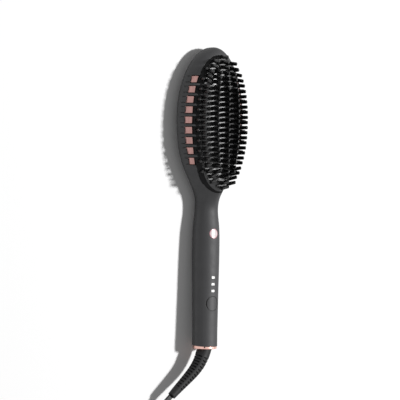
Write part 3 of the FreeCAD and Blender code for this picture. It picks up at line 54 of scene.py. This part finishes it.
LIE_TILT = math.radians(2.2239)      # the brush lies on its head's back and its grip, the head lower
AXIS_HEIGHT = 0.0126065              # of the brush's axis, at its middle, above the floor

VIEW_TILT = math.radians(36.0)       # the camera stands this far over to the brush's left
VIEW_ROLL = math.radians(0.69)
VIEW_DISTANCE = 2.5
VIEW_WIDTH = 0.4147                  # seen across at that distance
VIEW_ALONG = -0.00196                # of the picture's middle from the brush's, towards the head
VIEW_ASIDE = 0.0066                  # and to the picture's left
SENSOR_WIDTH_MM = 36.0
CLIP_RANGE = (0.1, 20.0)

LAMP_DIRECTION = (0.54, 0.153, 1.0)  # to the brush's right, so that the shadow falls to the left
LAMP_DISTANCE = 5.0
LAMP_SIDE = 0.42
LAMP_POWER = 256.0
ROOM_GLOW = 0.21                     # of the white room as a light
ROOM_SEEN = 1.0                      # of the white room as it is seen, mirrored or looked through

FLOOR_HALF_SIDE = 4.0
FLOOR_GREY = 0.93
FLOOR_ROUGHNESS = 0.9
FLOOR_LIFT = 0.02                    # added where the camera sees the paper, so that it reads as white


def lain(direction):
    """A direction of the brush as it lies on the floor."""
    return Matrix.Rotation(-LIE_TILT, 3, "X") @ Vector(direction)


def set_camera():
    across = lain((math.cos(VIEW_TILT), 0.0, math.sin(VIEW_TILT)))
    back = lain((-math.sin(VIEW_TILT), 0.0, math.cos(VIEW_TILT)))
    along = lain((0.0, 1.0, 0.0))
    right = across * math.cos(VIEW_ROLL) + along * math.sin(VIEW_ROLL)
    up = along * math.cos(VIEW_ROLL) - across * math.sin(VIEW_ROLL)
    camera = bpy.data.objects.new("camera", bpy.data.cameras.new("camera"))
    bpy.context.scene.collection.objects.link(camera)
    camera.data.sensor_width = SENSOR_WIDTH_MM
    camera.data.lens = SENSOR_WIDTH_MM * VIEW_DISTANCE / VIEW_WIDTH
    camera.data.clip_start, camera.data.clip_end = CLIP_RANGE
    aim = along * VIEW_ALONG + Vector((0.0, 0.0, AXIS_HEIGHT))
    spot = aim - across * VIEW_ASIDE + back * VIEW_DISTANCE
    camera.matrix_world = Matrix.Translation(spot) @ Matrix((right, up, back)).transposed().to_4x4()
    bpy.context.scene.camera = camera


def add_softbox():
    """One square lamp, aimed at the middle of the brush."""
    lamp = bpy.data.lights.new("key_softbox", "AREA")
    lamp.shape = "SQUARE"
    lamp.size = LAMP_SIDE
    lamp.energy = LAMP_POWER
    box = bpy.data.objects.new("key_softbox", lamp)
    bpy.context.scene.collection.objects.link(box)
    away = Vector(LAMP_DIRECTION).normalized()
    box.location = away * LAMP_DISTANCE
    box.rotation_mode = "QUATERNION"
    box.rotation_quaternion = away.to_track_quat("Z", "Y")


def fill_room():
    """A white room that is bright to look at and mirror, and dim as a light, so the shadow stays."""
    world = bpy.data.worlds.new("studio")
    bpy.context.scene.world = world
    world.use_nodes = True
    tree = world.node_tree
    sky = tree.nodes["Background"]
    path = tree.nodes.new("ShaderNodeLightPath")
    seen = tree.nodes.new("ShaderNodeMath")
    seen.operation = "MAXIMUM"
    tree.links.new(path.outputs["Is Camera Ray"], seen.inputs[0])
    tree.links.new(path.outputs["Is Glossy Ray"], seen.inputs[1])
    also = tree.nodes.new("ShaderNodeMath")
    also.operation = "MAXIMUM"
    tree.links.new(seen.outputs[0], also.inputs[0])
    tree.links.new(path.outputs["Is Transmission Ray"], also.inputs[1])
    level = tree.nodes.new("ShaderNodeMapRange")
    level.inputs["To Min"].default_value = ROOM_GLOW
    level.inputs["To Max"].default_value = ROOM_SEEN
    tree.links.new(also.outputs[0], level.inputs["Value"])
    tree.links.new(level.outputs["Result"], sky.inputs["Strength"])
    sky.inputs["Color"].default_value = (1.0, 1.0, 1.0, 1.0)


def lay_floor():
    """A sheet of white paper, a little brighter to the camera than to the light."""
    mesh = bpy.data.meshes.new("floor")
    half = FLOOR_HALF_SIDE
    corners = [(-half, -half, 0), (half, -half, 0), (half, half, 0), (-half, half, 0)]
    mesh.from_pydata(corners, [], [(0, 1, 2, 3)])
    floor = bpy.data.objects.new("floor", mesh)
    bpy.context.scene.collection.objects.link(floor)
    paper = bpy.data.materials.new("floor_paper")
    paper.use_nodes = True
    tree = paper.node_tree
    shader = tree.nodes["Principled BSDF"]
    shader.inputs["Base Color"].default_value = (FLOOR_GREY, FLOOR_GREY, FLOOR_GREY, 1)
    shader.inputs["Roughness"].default_value = FLOOR_ROUGHNESS
    shader.inputs["Specular IOR Level"].default_value = 0.0
    path = tree.nodes.new("ShaderNodeLightPath")
    lift = tree.nodes.new("ShaderNodeMath")
    lift.operation = "MULTIPLY"
    lift.inputs[1].default_value = FLOOR_LIFT
    tree.links.new(path.outputs["Is Camera Ray"], lift.inputs[0])
    shader.inputs["Emission Color"].default_value = (1, 1, 1, 1)
    tree.links.new(lift.outputs[0], shader.inputs["Emission Strength"])
    mesh.materials.append(paper)


set_camera()
lay_floor()
add_softbox()
fill_room()
bpy.context.scene.view_settings.view_transform = "Standard"

# ---------------------------------------------------------------- the flat cord, its coil and its plug

CORD_WIDTH = 0.0056
CORD_THICKNESS = 0.0031
CORD_WEB_HALF = 0.00028              # half of the flat strip between the flex's two cores
CORD_CORE_TURN = 0.62                # how far round a core its outline runs, of half a turn each way
CORD_LEAD = (                        # from the boot to the coil
    (-0.0386, -0.2021, 0.0183),
    (-0.0480, -0.2110, 0.0174),
    (-0.0546, -0.2210, 0.0140),
    (-0.0582, -0.2320, 0.0092),
    (-0.0589, -0.2430, 0.0049),
    (-0.0578, -0.2545, 0.0025),
)
CORD_TAIL = (                        # from the coil's top layer to the plug
    (-0.0566, -0.2785, 0.0116),
    (-0.0572, -0.2890, 0.0099),
    (-0.0574, -0.2990, 0.0084),
    (-0.0574, -0.3080, 0.0080),
)
COIL_MIDDLE = (-0.0190, -0.2640)
COIL_RADII = (0.0367, 0.0310, 0.0253)
COIL_HEIGHTS = (0.0025, 0.0057, 0.0089, 0.0121)
COIL_STEPS = 18                      # control points a turn
COIL_TURNS = 11.0
LAY_CHANGE = 1 / 6                   # of a turn, taken by a change of radius or layer
LINE_STEPS = 5                       # points that the smooth line gets for each control point


def coil_lay():
    """Where a turn changes its radius or its layer: (turns so far, radius, height) in order.

    Changes come a turn apart, and a change of layer comes one LAY_CHANGE early."""
    outer, middle, inner = COIL_RADII
    lay = [(0.0, outer, COIL_HEIGHTS[0])]
    radii = [outer, middle, inner]
    turned = 1 - LAY_CHANGE
    for layer, height in enumerate(COIL_HEIGHTS):
        for radius in radii[1:]:
            lay.append((turned, lay[-1][1], height))
            lay.append((turned + LAY_CHANGE, radius, height))
            turned += 1
        if layer + 1 < len(COIL_HEIGHTS):
            turned -= LAY_CHANGE
            lay.append((turned, radii[-1], height))
            lay.append((turned + LAY_CHANGE, radii[-1], COIL_HEIGHTS[layer + 1]))
            turned += 1 - LAY_CHANGE
        radii.reverse()
    lay.append((COIL_TURNS, outer, COIL_HEIGHTS[-1]))
    return lay


def coil_points():
    """Control points of the turns, set a little outwards because the smooth line runs inside them."""
    lay = coil_lay()
    swell = 1 / math.cos(math.pi / COIL_STEPS)
    middle_x, middle_y = COIL_MIDDLE
    points = []
    for step in range(int(lay[-1][0] * COIL_STEPS) + 1):
        turned = step / COIL_STEPS
        for before, after in zip(lay, lay[1:]):
            if turned <= after[0] + 1e-9:
                break
        share = (turned - before[0]) / (after[0] - before[0])
        radius = (before[1] + (after[1] - before[1]) * share) * swell
        height = before[2] + (after[2] - before[2]) * share
        angle = math.pi + turned * 2 * math.pi
        points.append((middle_x + radius * math.cos(angle), middle_y + radius * math.sin(angle), height))
    return points


def spline_line(name, control):
    """The points of a smooth line through its control points, and its length."""
    curve = bpy.data.curves.new(name, "CURVE")
    curve.dimensions = "3D"
    spline = curve.splines.new("NURBS")
    spline.points.add(len(control) - 1)
    for point, place in zip(spline.points, control):
        point.co = (*place, 1.0)
    spline.order_u = 3
    spline.use_endpoint_u = True
    curve.resolution_u = LINE_STEPS
    line = bpy.data.objects.new(name, curve)
    bpy.context.scene.collection.objects.link(line)
    mesh = bpy.data.meshes.new_from_object(line.evaluated_get(bpy.context.evaluated_depsgraph_get()))
    points = [vertex.co.copy() for vertex in mesh.vertices]
    bpy.data.objects.remove(line)
    bpy.data.meshes.remove(mesh)
    length = sum((b - a).length for a, b in zip(points, points[1:]))
    return points, length


def flex_section(steps=9):
    """The twin flex's outline, as (across, up): two round cores, and the strip between them."""
    core = CORD_THICKNESS / 2
    centre = CORD_WIDTH / 2 - core
    outline = []
    for k in range(steps):
        angle = math.pi * CORD_CORE_TURN * (1 - 2 * k / (steps - 1))
        outline.append((centre + core * math.cos(angle), core * math.sin(angle)))
    outline = [(max(x, CORD_WEB_HALF), y) for x, y in outline]
    return outline + [(-x, -y) for x, y in outline]


def sweep_flex(name, points):
    """The flat twin flex along a line, its broad side level."""
    section = flex_section()
    verts = []
    for k, point in enumerate(points):
        along = (points[min(k + 1, len(points) - 1)] - points[max(k - 1, 0)]).normalized()
        side = along.cross(Vector((0, 0, 1))).normalized()
        up = side.cross(along)
        verts += [point + side * x + up * z for x, z in section]
    ring = len(section)
    faces = []
    for k in range(len(points) - 1):
        for n in range(ring):
            m = (n + 1) % ring
            faces.append((k * ring + n, k * ring + m, (k + 1) * ring + m, (k + 1) * ring + n))
    faces.append(tuple(range(ring)))
    faces.append(tuple(reversed(range(len(verts) - ring, len(verts)))))
    mesh = bpy.data.meshes.new(name)
    mesh.from_pydata(verts, [], faces)
    face_out(mesh)
    mesh.shade_smooth()
    flex = bpy.data.objects.new(name, mesh)
    bpy.context.scene.collection.objects.link(flex)
    return flex


def face_out(mesh):
    """Turns all faces outwards."""
    solid = bmesh.new()
    solid.from_mesh(mesh)
    bmesh.ops.recalc_face_normals(solid, faces=solid.faces)
    solid.to_mesh(mesh)
    solid.free()


cord_path, cord_length = spline_line("cord_line", (*CORD_LEAD, *coil_points(), *CORD_TAIL))
flex = sweep_flex("flat_cord", cord_path)
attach(flex, "swivel")
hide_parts("cord", "cord_coil")

# ---------------------------------------------------------------- bristles

WELD_DISTANCE = 1e-6
END_DEPTH = 0.0002                   # points this near to a bristle's end count as its end
ROD_SEGMENTS = 5                     # the shares in bristle_tree hold one value for each ring of the rod

PLATE_STEM = {
    "length": 0.0136, "foot_across": 0.0024, "foot_along": 0.0043, "tip_across": 0.0017, "tip_along": 0.0035}
GUARD_STEM = {
    "length": 0.0092, "foot_across": 0.0023, "foot_along": 0.0042, "tip_across": 0.0016, "tip_along": 0.003}


def islands(mesh):
    """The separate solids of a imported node, as lists of points, in the mesh's own order.

    Sets of vertices have another order in each run, so they are only asked what they hold."""
    solid = bmesh.new()
    solid.from_mesh(mesh)
    bmesh.ops.remove_doubles(solid, verts=solid.verts, dist=WELD_DISTANCE)
    reached = set()
    found = []
    for first in solid.verts:
        if first in reached:
            continue
        reached.add(first)
        waiting = [first]
        group = []
        while waiting:
            vert = waiting.pop()
            group.append(vert.co.copy())
            for edge in vert.link_edges:
                other = edge.other_vert(vert)
                if other not in reached:
                    reached.add(other)
                    waiting.append(other)
        found.append(group)
    solid.free()
    return found


def foot_and_lean(points):
    """The middle of a bristle's foot, and the line from there to its tip."""
    axis = lain((0, 0, 1))
    for _ in range(3):
        heights = [point.dot(axis) for point in points]
        low = [point for point, height in zip(points, heights) if height < min(heights) + END_DEPTH]
        high = [point for point, height in zip(points, heights) if height > max(heights) - END_DEPTH]
        foot = sum(low, Vector()) / len(low)
        axis = (sum(high, Vector()) / len(high) - foot).normalized()
    return foot, axis


def add_input(tree, name, kind, value=None):
    socket = tree.interface.new_socket(name=name, in_out="INPUT", socket_type=kind)
    if value is not None:
        socket.default_value = value
    return socket


def curve_shares(tree, source, stations):
    """A value that steps through stations as the source goes from 0 to 1."""
    node = tree.nodes.new("ShaderNodeFloatCurve")
    line = node.mapping.curves[0]
    while len(line.points) < len(stations):
        line.points.new(0.5, 0.5)
    for k, (point, value) in enumerate(zip(line.points, stations)):
        point.location = (k / (len(stations) - 1), value)
        point.handle_type = "VECTOR"
    node.mapping.update()
    tree.links.new(source, node.inputs["Value"])
    return node.outputs["Value"]


def maths(tree, operation, *values):
    node = tree.nodes.new("ShaderNodeMath")
    node.operation = operation
    for socket, value in zip(node.inputs, values):
        if isinstance(value, (int, float)):
            socket.default_value = value
        else:
            tree.links.new(value, socket)
    return node.outputs[0]


def bristle_tree():
    """Tapering blades with round ends, one on each point, leaning as the point says."""
    tree = bpy.data.node_groups.new("standing_blades", "GeometryNodeTree")
    add_input(tree, "Feet", "NodeSocketGeometry")
    for name, value in (
        ("Length", 0.0136), ("Foot Across", 0.0024), ("Foot Along", 0.004), ("Tip Across", 0.0016),
        ("Tip Along", 0.0029), ("Round", 0.0008),
    ):
        add_input(tree, name, "NodeSocketFloat", value)
    add_input(tree, "Sides", "NodeSocketInt", 12)
    add_input(tree, "Finish", "NodeSocketMaterial")
    tree.interface.new_socket(name="Blades", in_out="OUTPUT", socket_type="NodeSocketGeometry")
    given = tree.nodes.new("NodeGroupInput").outputs
    out = tree.nodes.new("NodeGroupOutput")

    rod = tree.nodes.new("GeometryNodeMeshCylinder")
    rod.fill_type = "NGON"
    tree.links.new(given["Sides"], rod.inputs["Vertices"])
    rod.inputs["Side Segments"].default_value = ROD_SEGMENTS
    rod.inputs["Radius"].default_value = 1.0
    rod.inputs["Depth"].default_value = 1.0

    split = tree.nodes.new("ShaderNodeSeparateXYZ")
    tree.links.new(tree.nodes.new("GeometryNodeInputPosition").outputs[0], split.inputs[0])
    station = maths(tree, "ADD", split.outputs["Z"], 0.5)
    stem_share = curve_shares(tree, station, (0, 0.5, 1, 1, 1, 1))
    cap_share = curve_shares(tree, station, (0, 0, 0, 0.5, 0.82, 1))
    girth = curve_shares(tree, station, (1, 1, 1, 0.866, 0.574, 0.22))
    stem = maths(tree, "SUBTRACT", given["Length"], given["Round"])
    stem_rise = maths(tree, "MULTIPLY", stem, stem_share)
    cap_rise = maths(tree, "MULTIPLY", given["Round"], cap_share)
    height = maths(tree, "ADD", stem_rise, cap_rise)
    tapered = maths(tree, "DIVIDE", height, given["Length"])
    sides = []
    for way, axis in (("Across", "X"), ("Along", "Y")):
        width = tree.nodes.new("ShaderNodeMapRange")
        tree.links.new(tapered, width.inputs["Value"])
        tree.links.new(given[f"Foot {way}"], width.inputs["To Min"])
        tree.links.new(given[f"Tip {way}"], width.inputs["To Max"])
        half = maths(tree, "MULTIPLY", maths(tree, "MULTIPLY", width.outputs["Result"], 0.5), girth)
        sides.append(maths(tree, "MULTIPLY", split.outputs[axis], half))
    joined = tree.nodes.new("ShaderNodeCombineXYZ")
    for value, socket in zip((*sides, height), joined.inputs):
        tree.links.new(value, socket)
    shaped = tree.nodes.new("GeometryNodeSetPosition")
    tree.links.new(rod.outputs["Mesh"], shaped.inputs["Geometry"])
    tree.links.new(joined.outputs[0], shaped.inputs["Position"])
    smooth = tree.nodes.new("GeometryNodeSetShadeSmooth")
    tree.links.new(shaped.outputs[0], smooth.inputs["Geometry"])

    lean = tree.nodes.new("GeometryNodeInputNamedAttribute")
    lean.data_type = "FLOAT_VECTOR"
    lean.inputs["Name"].default_value = "lean"
    turn = tree.nodes.new("FunctionNodeAlignRotationToVector")
    turn.axis = "Z"
    tree.links.new(lean.outputs["Attribute"], turn.inputs["Vector"])
    stand = tree.nodes.new("GeometryNodeInstanceOnPoints")
    tree.links.new(given["Feet"], stand.inputs["Points"])
    tree.links.new(smooth.outputs[0], stand.inputs["Instance"])
    tree.links.new(turn.outputs[0], stand.inputs["Rotation"])
    real = tree.nodes.new("GeometryNodeRealizeInstances")
    tree.links.new(stand.outputs[0], real.inputs[0])
    paint = tree.nodes.new("GeometryNodeSetMaterial")
    tree.links.new(real.outputs[0], paint.inputs["Geometry"])
    tree.links.new(given["Finish"], paint.inputs["Material"])
    tree.links.new(paint.outputs[0], out.inputs[0])
    return tree


def stand_blades(tree, name, node, finish, sizes):
    """Blades in the place of a packed row of bristles."""
    feet = [foot_and_lean(points) for points in islands(frame["nodes"][node].data)]
    mesh = bpy.data.meshes.new(name)
    mesh.from_pydata([foot for foot, lean in feet], [], [])
    leans = mesh.attributes.new("lean", "FLOAT_VECTOR", "POINT")
    for value, (foot, lean) in zip(leans.data, feet):
        value.vector = lean
    piece = bpy.data.objects.new(name, mesh)
    bpy.context.scene.collection.objects.link(piece)
    grow = piece.modifiers.new("blades", "NODES")
    grow.node_group = tree
    wanted = {**sizes, "finish": finish}
    for item in tree.interface.items_tree:
        key = item.name.replace(" ", "_").lower()
        if item.in_out == "INPUT" and key in wanted:
            grow[item.identifier] = wanted[key]
    solid = bpy.data.meshes.new_from_object(piece.evaluated_get(bpy.context.evaluated_depsgraph_get()))
    piece.modifiers.clear()
    piece.data = solid
    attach(piece, "casing")
    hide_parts(node)


# ---------------------------------------------------------------- finishes

COLOUR_SPAN = (0.35, 0.65)           # of a noise pattern, between its two colours
GLOSS_SPAN = (0.3, 0.7)              # and between its two roughnesses
RIM_BLEND = 0.03                     # of a disc's radius, between its face and its rim


def srgb(red, green, blue):
    """A colour written in screen values, 0 to 255."""
    linear = []
    for value in (red, green, blue):
        share = value / 255
        linear.append(share / 12.92 if share <= 0.04045 else ((share + 0.055) / 1.055) ** 2.4)
    return (*linear, 1.0)


def start_finish(name, roughness, metallic=0.0, specular=0.5):
    material = bpy.data.materials.new(name)
    material.use_nodes = True
    shader = material.node_tree.nodes["Principled BSDF"]
    shader.inputs["Metallic"].default_value = metallic
    shader.inputs["Roughness"].default_value = roughness
    shader.inputs["Specular IOR Level"].default_value = specular
    where = material.node_tree.nodes.new("ShaderNodeTexCoord")
    return material, shader, where.outputs["Object"]


def cloud(material, where, scale, detail=3.0, stretch=(1, 1, 1)):
    """A noise pattern on object coordinates; stretch makes streaks."""
    tree = material.node_tree
    mapping = tree.nodes.new("ShaderNodeMapping")
    mapping.inputs["Scale"].default_value = stretch
    tree.links.new(where, mapping.inputs["Vector"])
    noise = tree.nodes.new("ShaderNodeTexNoise")
    noise.inputs["Scale"].default_value = scale
    noise.inputs["Detail"].default_value = detail
    tree.links.new(mapping.outputs["Vector"], noise.inputs["Vector"])
    return noise.outputs["Fac"]


def colour_between(material, shader, pattern, low, high):
    """A colour that goes from low to high over the middle of a pattern."""
    tree = material.node_tree
    ramp = tree.nodes.new("ShaderNodeValToRGB")
    ramp.color_ramp.elements[0].position = COLOUR_SPAN[0]
    ramp.color_ramp.elements[0].color = low
    ramp.color_ramp.elements[1].position = COLOUR_SPAN[1]
    ramp.color_ramp.elements[1].color = high
    tree.links.new(pattern, ramp.inputs["Fac"])
    tree.links.new(ramp.outputs["Color"], shader.inputs["Base Color"])


def gloss_between(material, shader, pattern, low, high):
    """A roughness that goes from low to high over the middle of a pattern."""
    tree = material.node_tree
    spread = tree.nodes.new("ShaderNodeMapRange")
    spread.inputs["From Min"].default_value = GLOSS_SPAN[0]
    spread.inputs["From Max"].default_value = GLOSS_SPAN[1]
    spread.inputs["To Min"].default_value = low
    spread.inputs["To Max"].default_value = high
    tree.links.new(pattern, spread.inputs["Value"])
    tree.links.new(spread.outputs["Result"], shader.inputs["Roughness"])


def relief(material, shader, pattern, height, soft_edge=0.0):
    """Fine relief, and optionally edges that catch the light as a moulded edge does."""
    tree = material.node_tree
    bump = tree.nodes.new("ShaderNodeBump")
    bump.inputs["Distance"].default_value = height
    tree.links.new(pattern, bump.inputs["Height"])
    if soft_edge:
        edge = tree.nodes.new("ShaderNodeBevel")
        edge.inputs["Radius"].default_value = soft_edge
        tree.links.new(edge.outputs["Normal"], bump.inputs["Normal"])
    tree.links.new(bump.outputs["Normal"], shader.inputs["Normal"])


def moulded(name, dark, light, gloss, grain=900.0, height=0.00001, soft_edge=0.0003, patch=35.0, **shine):
    """Moulded plastic or rubber: slow tone changes, fine spark-eroded grain."""
    material, shader, where = start_finish(name, gloss[0], **shine)
    colour_between(material, shader, cloud(material, where, patch), dark, light)
    gloss_between(material, shader, cloud(material, where, patch * 4), gloss[0], gloss[1])
    relief(material, shader, cloud(material, where, grain, 2.0), height, soft_edge)
    return material


def metal(name, dark, light, gloss, stretch=(1, 1, 1), soft_edge=0.0002, scale=400.0, height=0.000004):
    """Plated or drawn metal with a slight brushed direction."""
    material, shader, where = start_finish(name, gloss[0], metallic=1.0)
    pattern = cloud(material, where, scale, 4.0, stretch)
    colour_between(material, shader, pattern, dark, light)
    gloss_between(material, shader, pattern, gloss[0], gloss[1])
    relief(material, shader, pattern, height, soft_edge)
    return material


def ceramic_glaze():
    """Ceramic coating on the plate, with faint flow marks."""
    material, shader, where = start_finish("ceramic_glaze", 0.4, specular=0.7)
    slow = cloud(material, where, 60.0, 4.0, (1.0, 0.35, 1.0))
    colour_between(material, shader, slow, srgb(26, 26, 28), srgb(36, 36, 38))
    gloss_between(material, shader, cloud(material, where, 240.0), 0.38, 0.46)
    relief(material, shader, cloud(material, where, 320.0, 2.0), 0.00002, 0.0002)
    return material


def rimmed_disc(name, node, face, rim, rim_share, gloss, **shine):
    """A small round disc with a rim of another tone and gloss: a printed pink rim on the badge, and painted
    shade of the gap round the power button.
    """
    material, shader, where = start_finish(name, gloss[0], **shine)
    tree = material.node_tree
    low, high = (Vector(corner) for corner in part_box(node))
    centred = tree.nodes.new("ShaderNodeMapping")
    centred.inputs["Location"].default_value = -(low + high) / 2
    tree.links.new(where, centred.inputs["Vector"])
    flat = tree.nodes.new("ShaderNodeVectorMath")
    flat.operation = "MULTIPLY"
    flat.inputs[1].default_value = (2 / (high - low).x, 2 / (high - low).y, 0.0)
    tree.links.new(centred.outputs["Vector"], flat.inputs[0])
    reach = tree.nodes.new("ShaderNodeVectorMath")
    reach.operation = "LENGTH"
    tree.links.new(flat.outputs["Vector"], reach.inputs[0])
    step = tree.nodes.new("ShaderNodeValToRGB")
    step.color_ramp.elements[0].position = rim_share - RIM_BLEND
    step.color_ramp.elements[0].color = face
    step.color_ramp.elements[1].position = rim_share
    step.color_ramp.elements[1].color = rim
    tree.links.new(reach.outputs["Value"], step.inputs["Fac"])
    tree.links.new(step.outputs["Color"], shader.inputs["Base Color"])
    dulling = tree.nodes.new("ShaderNodeMapRange")
    dulling.inputs["From Min"].default_value = rim_share - RIM_BLEND
    dulling.inputs["From Max"].default_value = rim_share
    dulling.inputs["To Min"].default_value = gloss[0]
    dulling.inputs["To Max"].default_value = gloss[1]
    tree.links.new(reach.outputs["Value"], dulling.inputs["Value"])
    tree.links.new(dulling.outputs["Result"], shader.inputs["Roughness"])
    relief(material, shader, cloud(material, where, 900.0, 2.0), 0.00001, 0.0002)
    return material


FINISHES = {
    "casing": moulded(
        "satin_charcoal", srgb(33, 33, 35), srgb(39, 39, 41), (0.58, 0.66), soft_edge=0.0009, specular=0.62),
    "rose_gold": metal(
        "rose_gold_plate", srgb(214, 168, 158), srgb(232, 190, 178), (0.24, 0.34), (1, 0.15, 1)),
    "frame_black": moulded("frame_black_satin", srgb(9, 9, 10), srgb(14, 14, 15), (0.5, 0.6), specular=0.15),
    "ceramic": ceramic_glaze(),
    "bristle": moulded(
        "bristle_nylon", srgb(12, 12, 13), srgb(18, 18, 19), (0.24, 0.32), patch=160.0, soft_edge=0.0,
        specular=0.5),
    "heat_resin": moulded("heat_resin_dark", srgb(38, 34, 30), srgb(50, 45, 40), (0.55, 0.65)),
    "heater_foil": metal("heater_foil_bright", srgb(190, 190, 192), srgb(215, 215, 216), (0.3, 0.45)),
    "mica": moulded("mica_sheet", srgb(170, 150, 110), srgb(196, 178, 138), (0.35, 0.55), patch=120.0),
    "steel": metal("screw_steel", srgb(150, 150, 152), srgb(190, 190, 192), (0.28, 0.4)),
    "sensor_glass": moulded("sensor_bead", srgb(150, 110, 60), srgb(176, 132, 78), (0.12, 0.2)),
    "fuse_metal": metal("fuse_can", srgb(176, 172, 160), srgb(206, 202, 190), (0.25, 0.35)),
    "wire_white": moulded("wire_white_silicone", srgb(214, 212, 204), srgb(228, 226, 220), (0.45, 0.55)),
    "wire_yellow": moulded("wire_yellow_silicone", srgb(200, 168, 60), srgb(216, 186, 82), (0.45, 0.55)),
    "wire_brown": moulded("wire_brown_vinyl", srgb(86, 54, 36), srgb(104, 68, 46), (0.4, 0.5)),
    "circuit_board": moulded(
        "board_green_mask", srgb(18, 78, 48), srgb(28, 98, 60), (0.2, 0.32), patch=300.0),
    "board_part": moulded("component_black", srgb(26, 26, 28), srgb(40, 40, 42), (0.35, 0.5)),
    "led": moulded("led_epoxy", srgb(236, 234, 214), srgb(246, 244, 228), (0.1, 0.2)),
    "lens_white": moulded("lens_opal", srgb(238, 238, 236), srgb(250, 250, 248), (0.2, 0.3), patch=400.0),
    "switch_black": moulded("switch_case", srgb(24, 24, 26), srgb(34, 34, 36), (0.4, 0.5)),
    "plunger": moulded("plunger_resin", srgb(196, 190, 176), srgb(210, 204, 192), (0.4, 0.5)),
    "pearl": rimmed_disc(
        "badge_pearl", "badge_disc", srgb(214, 204, 204), srgb(196, 140, 148), 0.86, (0.25, 0.35)),
    "swivel_resin": moulded("swivel_resin_black", srgb(26, 26, 27), srgb(36, 36, 37), (0.4, 0.5)),
    "brass": metal("contact_brass", srgb(196, 160, 92), srgb(222, 188, 120), (0.22, 0.34)),
    "boot_rubber": moulded(
        "boot_rubber_black", srgb(17, 17, 18), srgb(24, 24, 25), (0.55, 0.65), specular=0.3),
    "cord_jacket": moulded(
        "cord_jacket_vinyl", srgb(24, 24, 25), srgb(34, 34, 35), (0.4, 0.52), soft_edge=0.0),
    "tie_black": moulded("tie_strap", srgb(24, 24, 25), srgb(36, 36, 37), (0.5, 0.6)),
    "plug_black": moulded("plug_vinyl", srgb(24, 24, 25), srgb(34, 34, 35), (0.38, 0.5)),
}

for subpart in frame["record"]["subparts"]:
    node = frame["nodes"][subpart["node"]]
    node.data.materials.clear()
    node.data.materials.append(FINISHES[subpart["material_slot"]])
flex.data.materials.append(FINISHES["cord_jacket"])

# These pieces look other than the rest of their slot.
# The vent trims get a darker, duller copy of the rose gold: painted shade of the window recesses they sit
# in.
rose_gold_painted_shade = metal("rose_gold_liner", srgb(164, 128, 123), srgb(182, 142, 137), (0.4, 0.5), (1, 0.15, 1))
OWN_FINISHES = {
    "vent_trim_left": rose_gold_painted_shade,
    "vent_trim_right": rose_gold_painted_shade,
    "heater_fins": moulded(
        "fin_black", srgb(16, 16, 17), srgb(24, 24, 25), (0.3, 0.38), patch=160.0, soft_edge=0.0007,
        specular=0.5),
    "ring_pin": moulded("pin_black", srgb(5, 4, 4), srgb(9, 7, 7), (0.6, 0.7), specular=0.1),
    # The power button's near-black rim is painted shade of the gap round the button, and its roughness rises
    # there to dull the highlight.
    "power_button": rimmed_disc(
        "button_satin", "power_button", srgb(33, 33, 35), srgb(3, 3, 3), 0.88, (0.58, 1.0), specular=0.6),
}
for name, finish in OWN_FINISHES.items():
    frame["nodes"][name].data.materials[0] = finish

blades = bristle_tree()
for name, node, sizes in (
    ("long_stems", "long_bristles", PLATE_STEM),
    ("short_stems", "short_bristles", PLATE_STEM),
    ("guard_stems", "outer_bristles", GUARD_STEM),
):
    stand_blades(blades, name, node, FINISHES["bristle"], sizes)
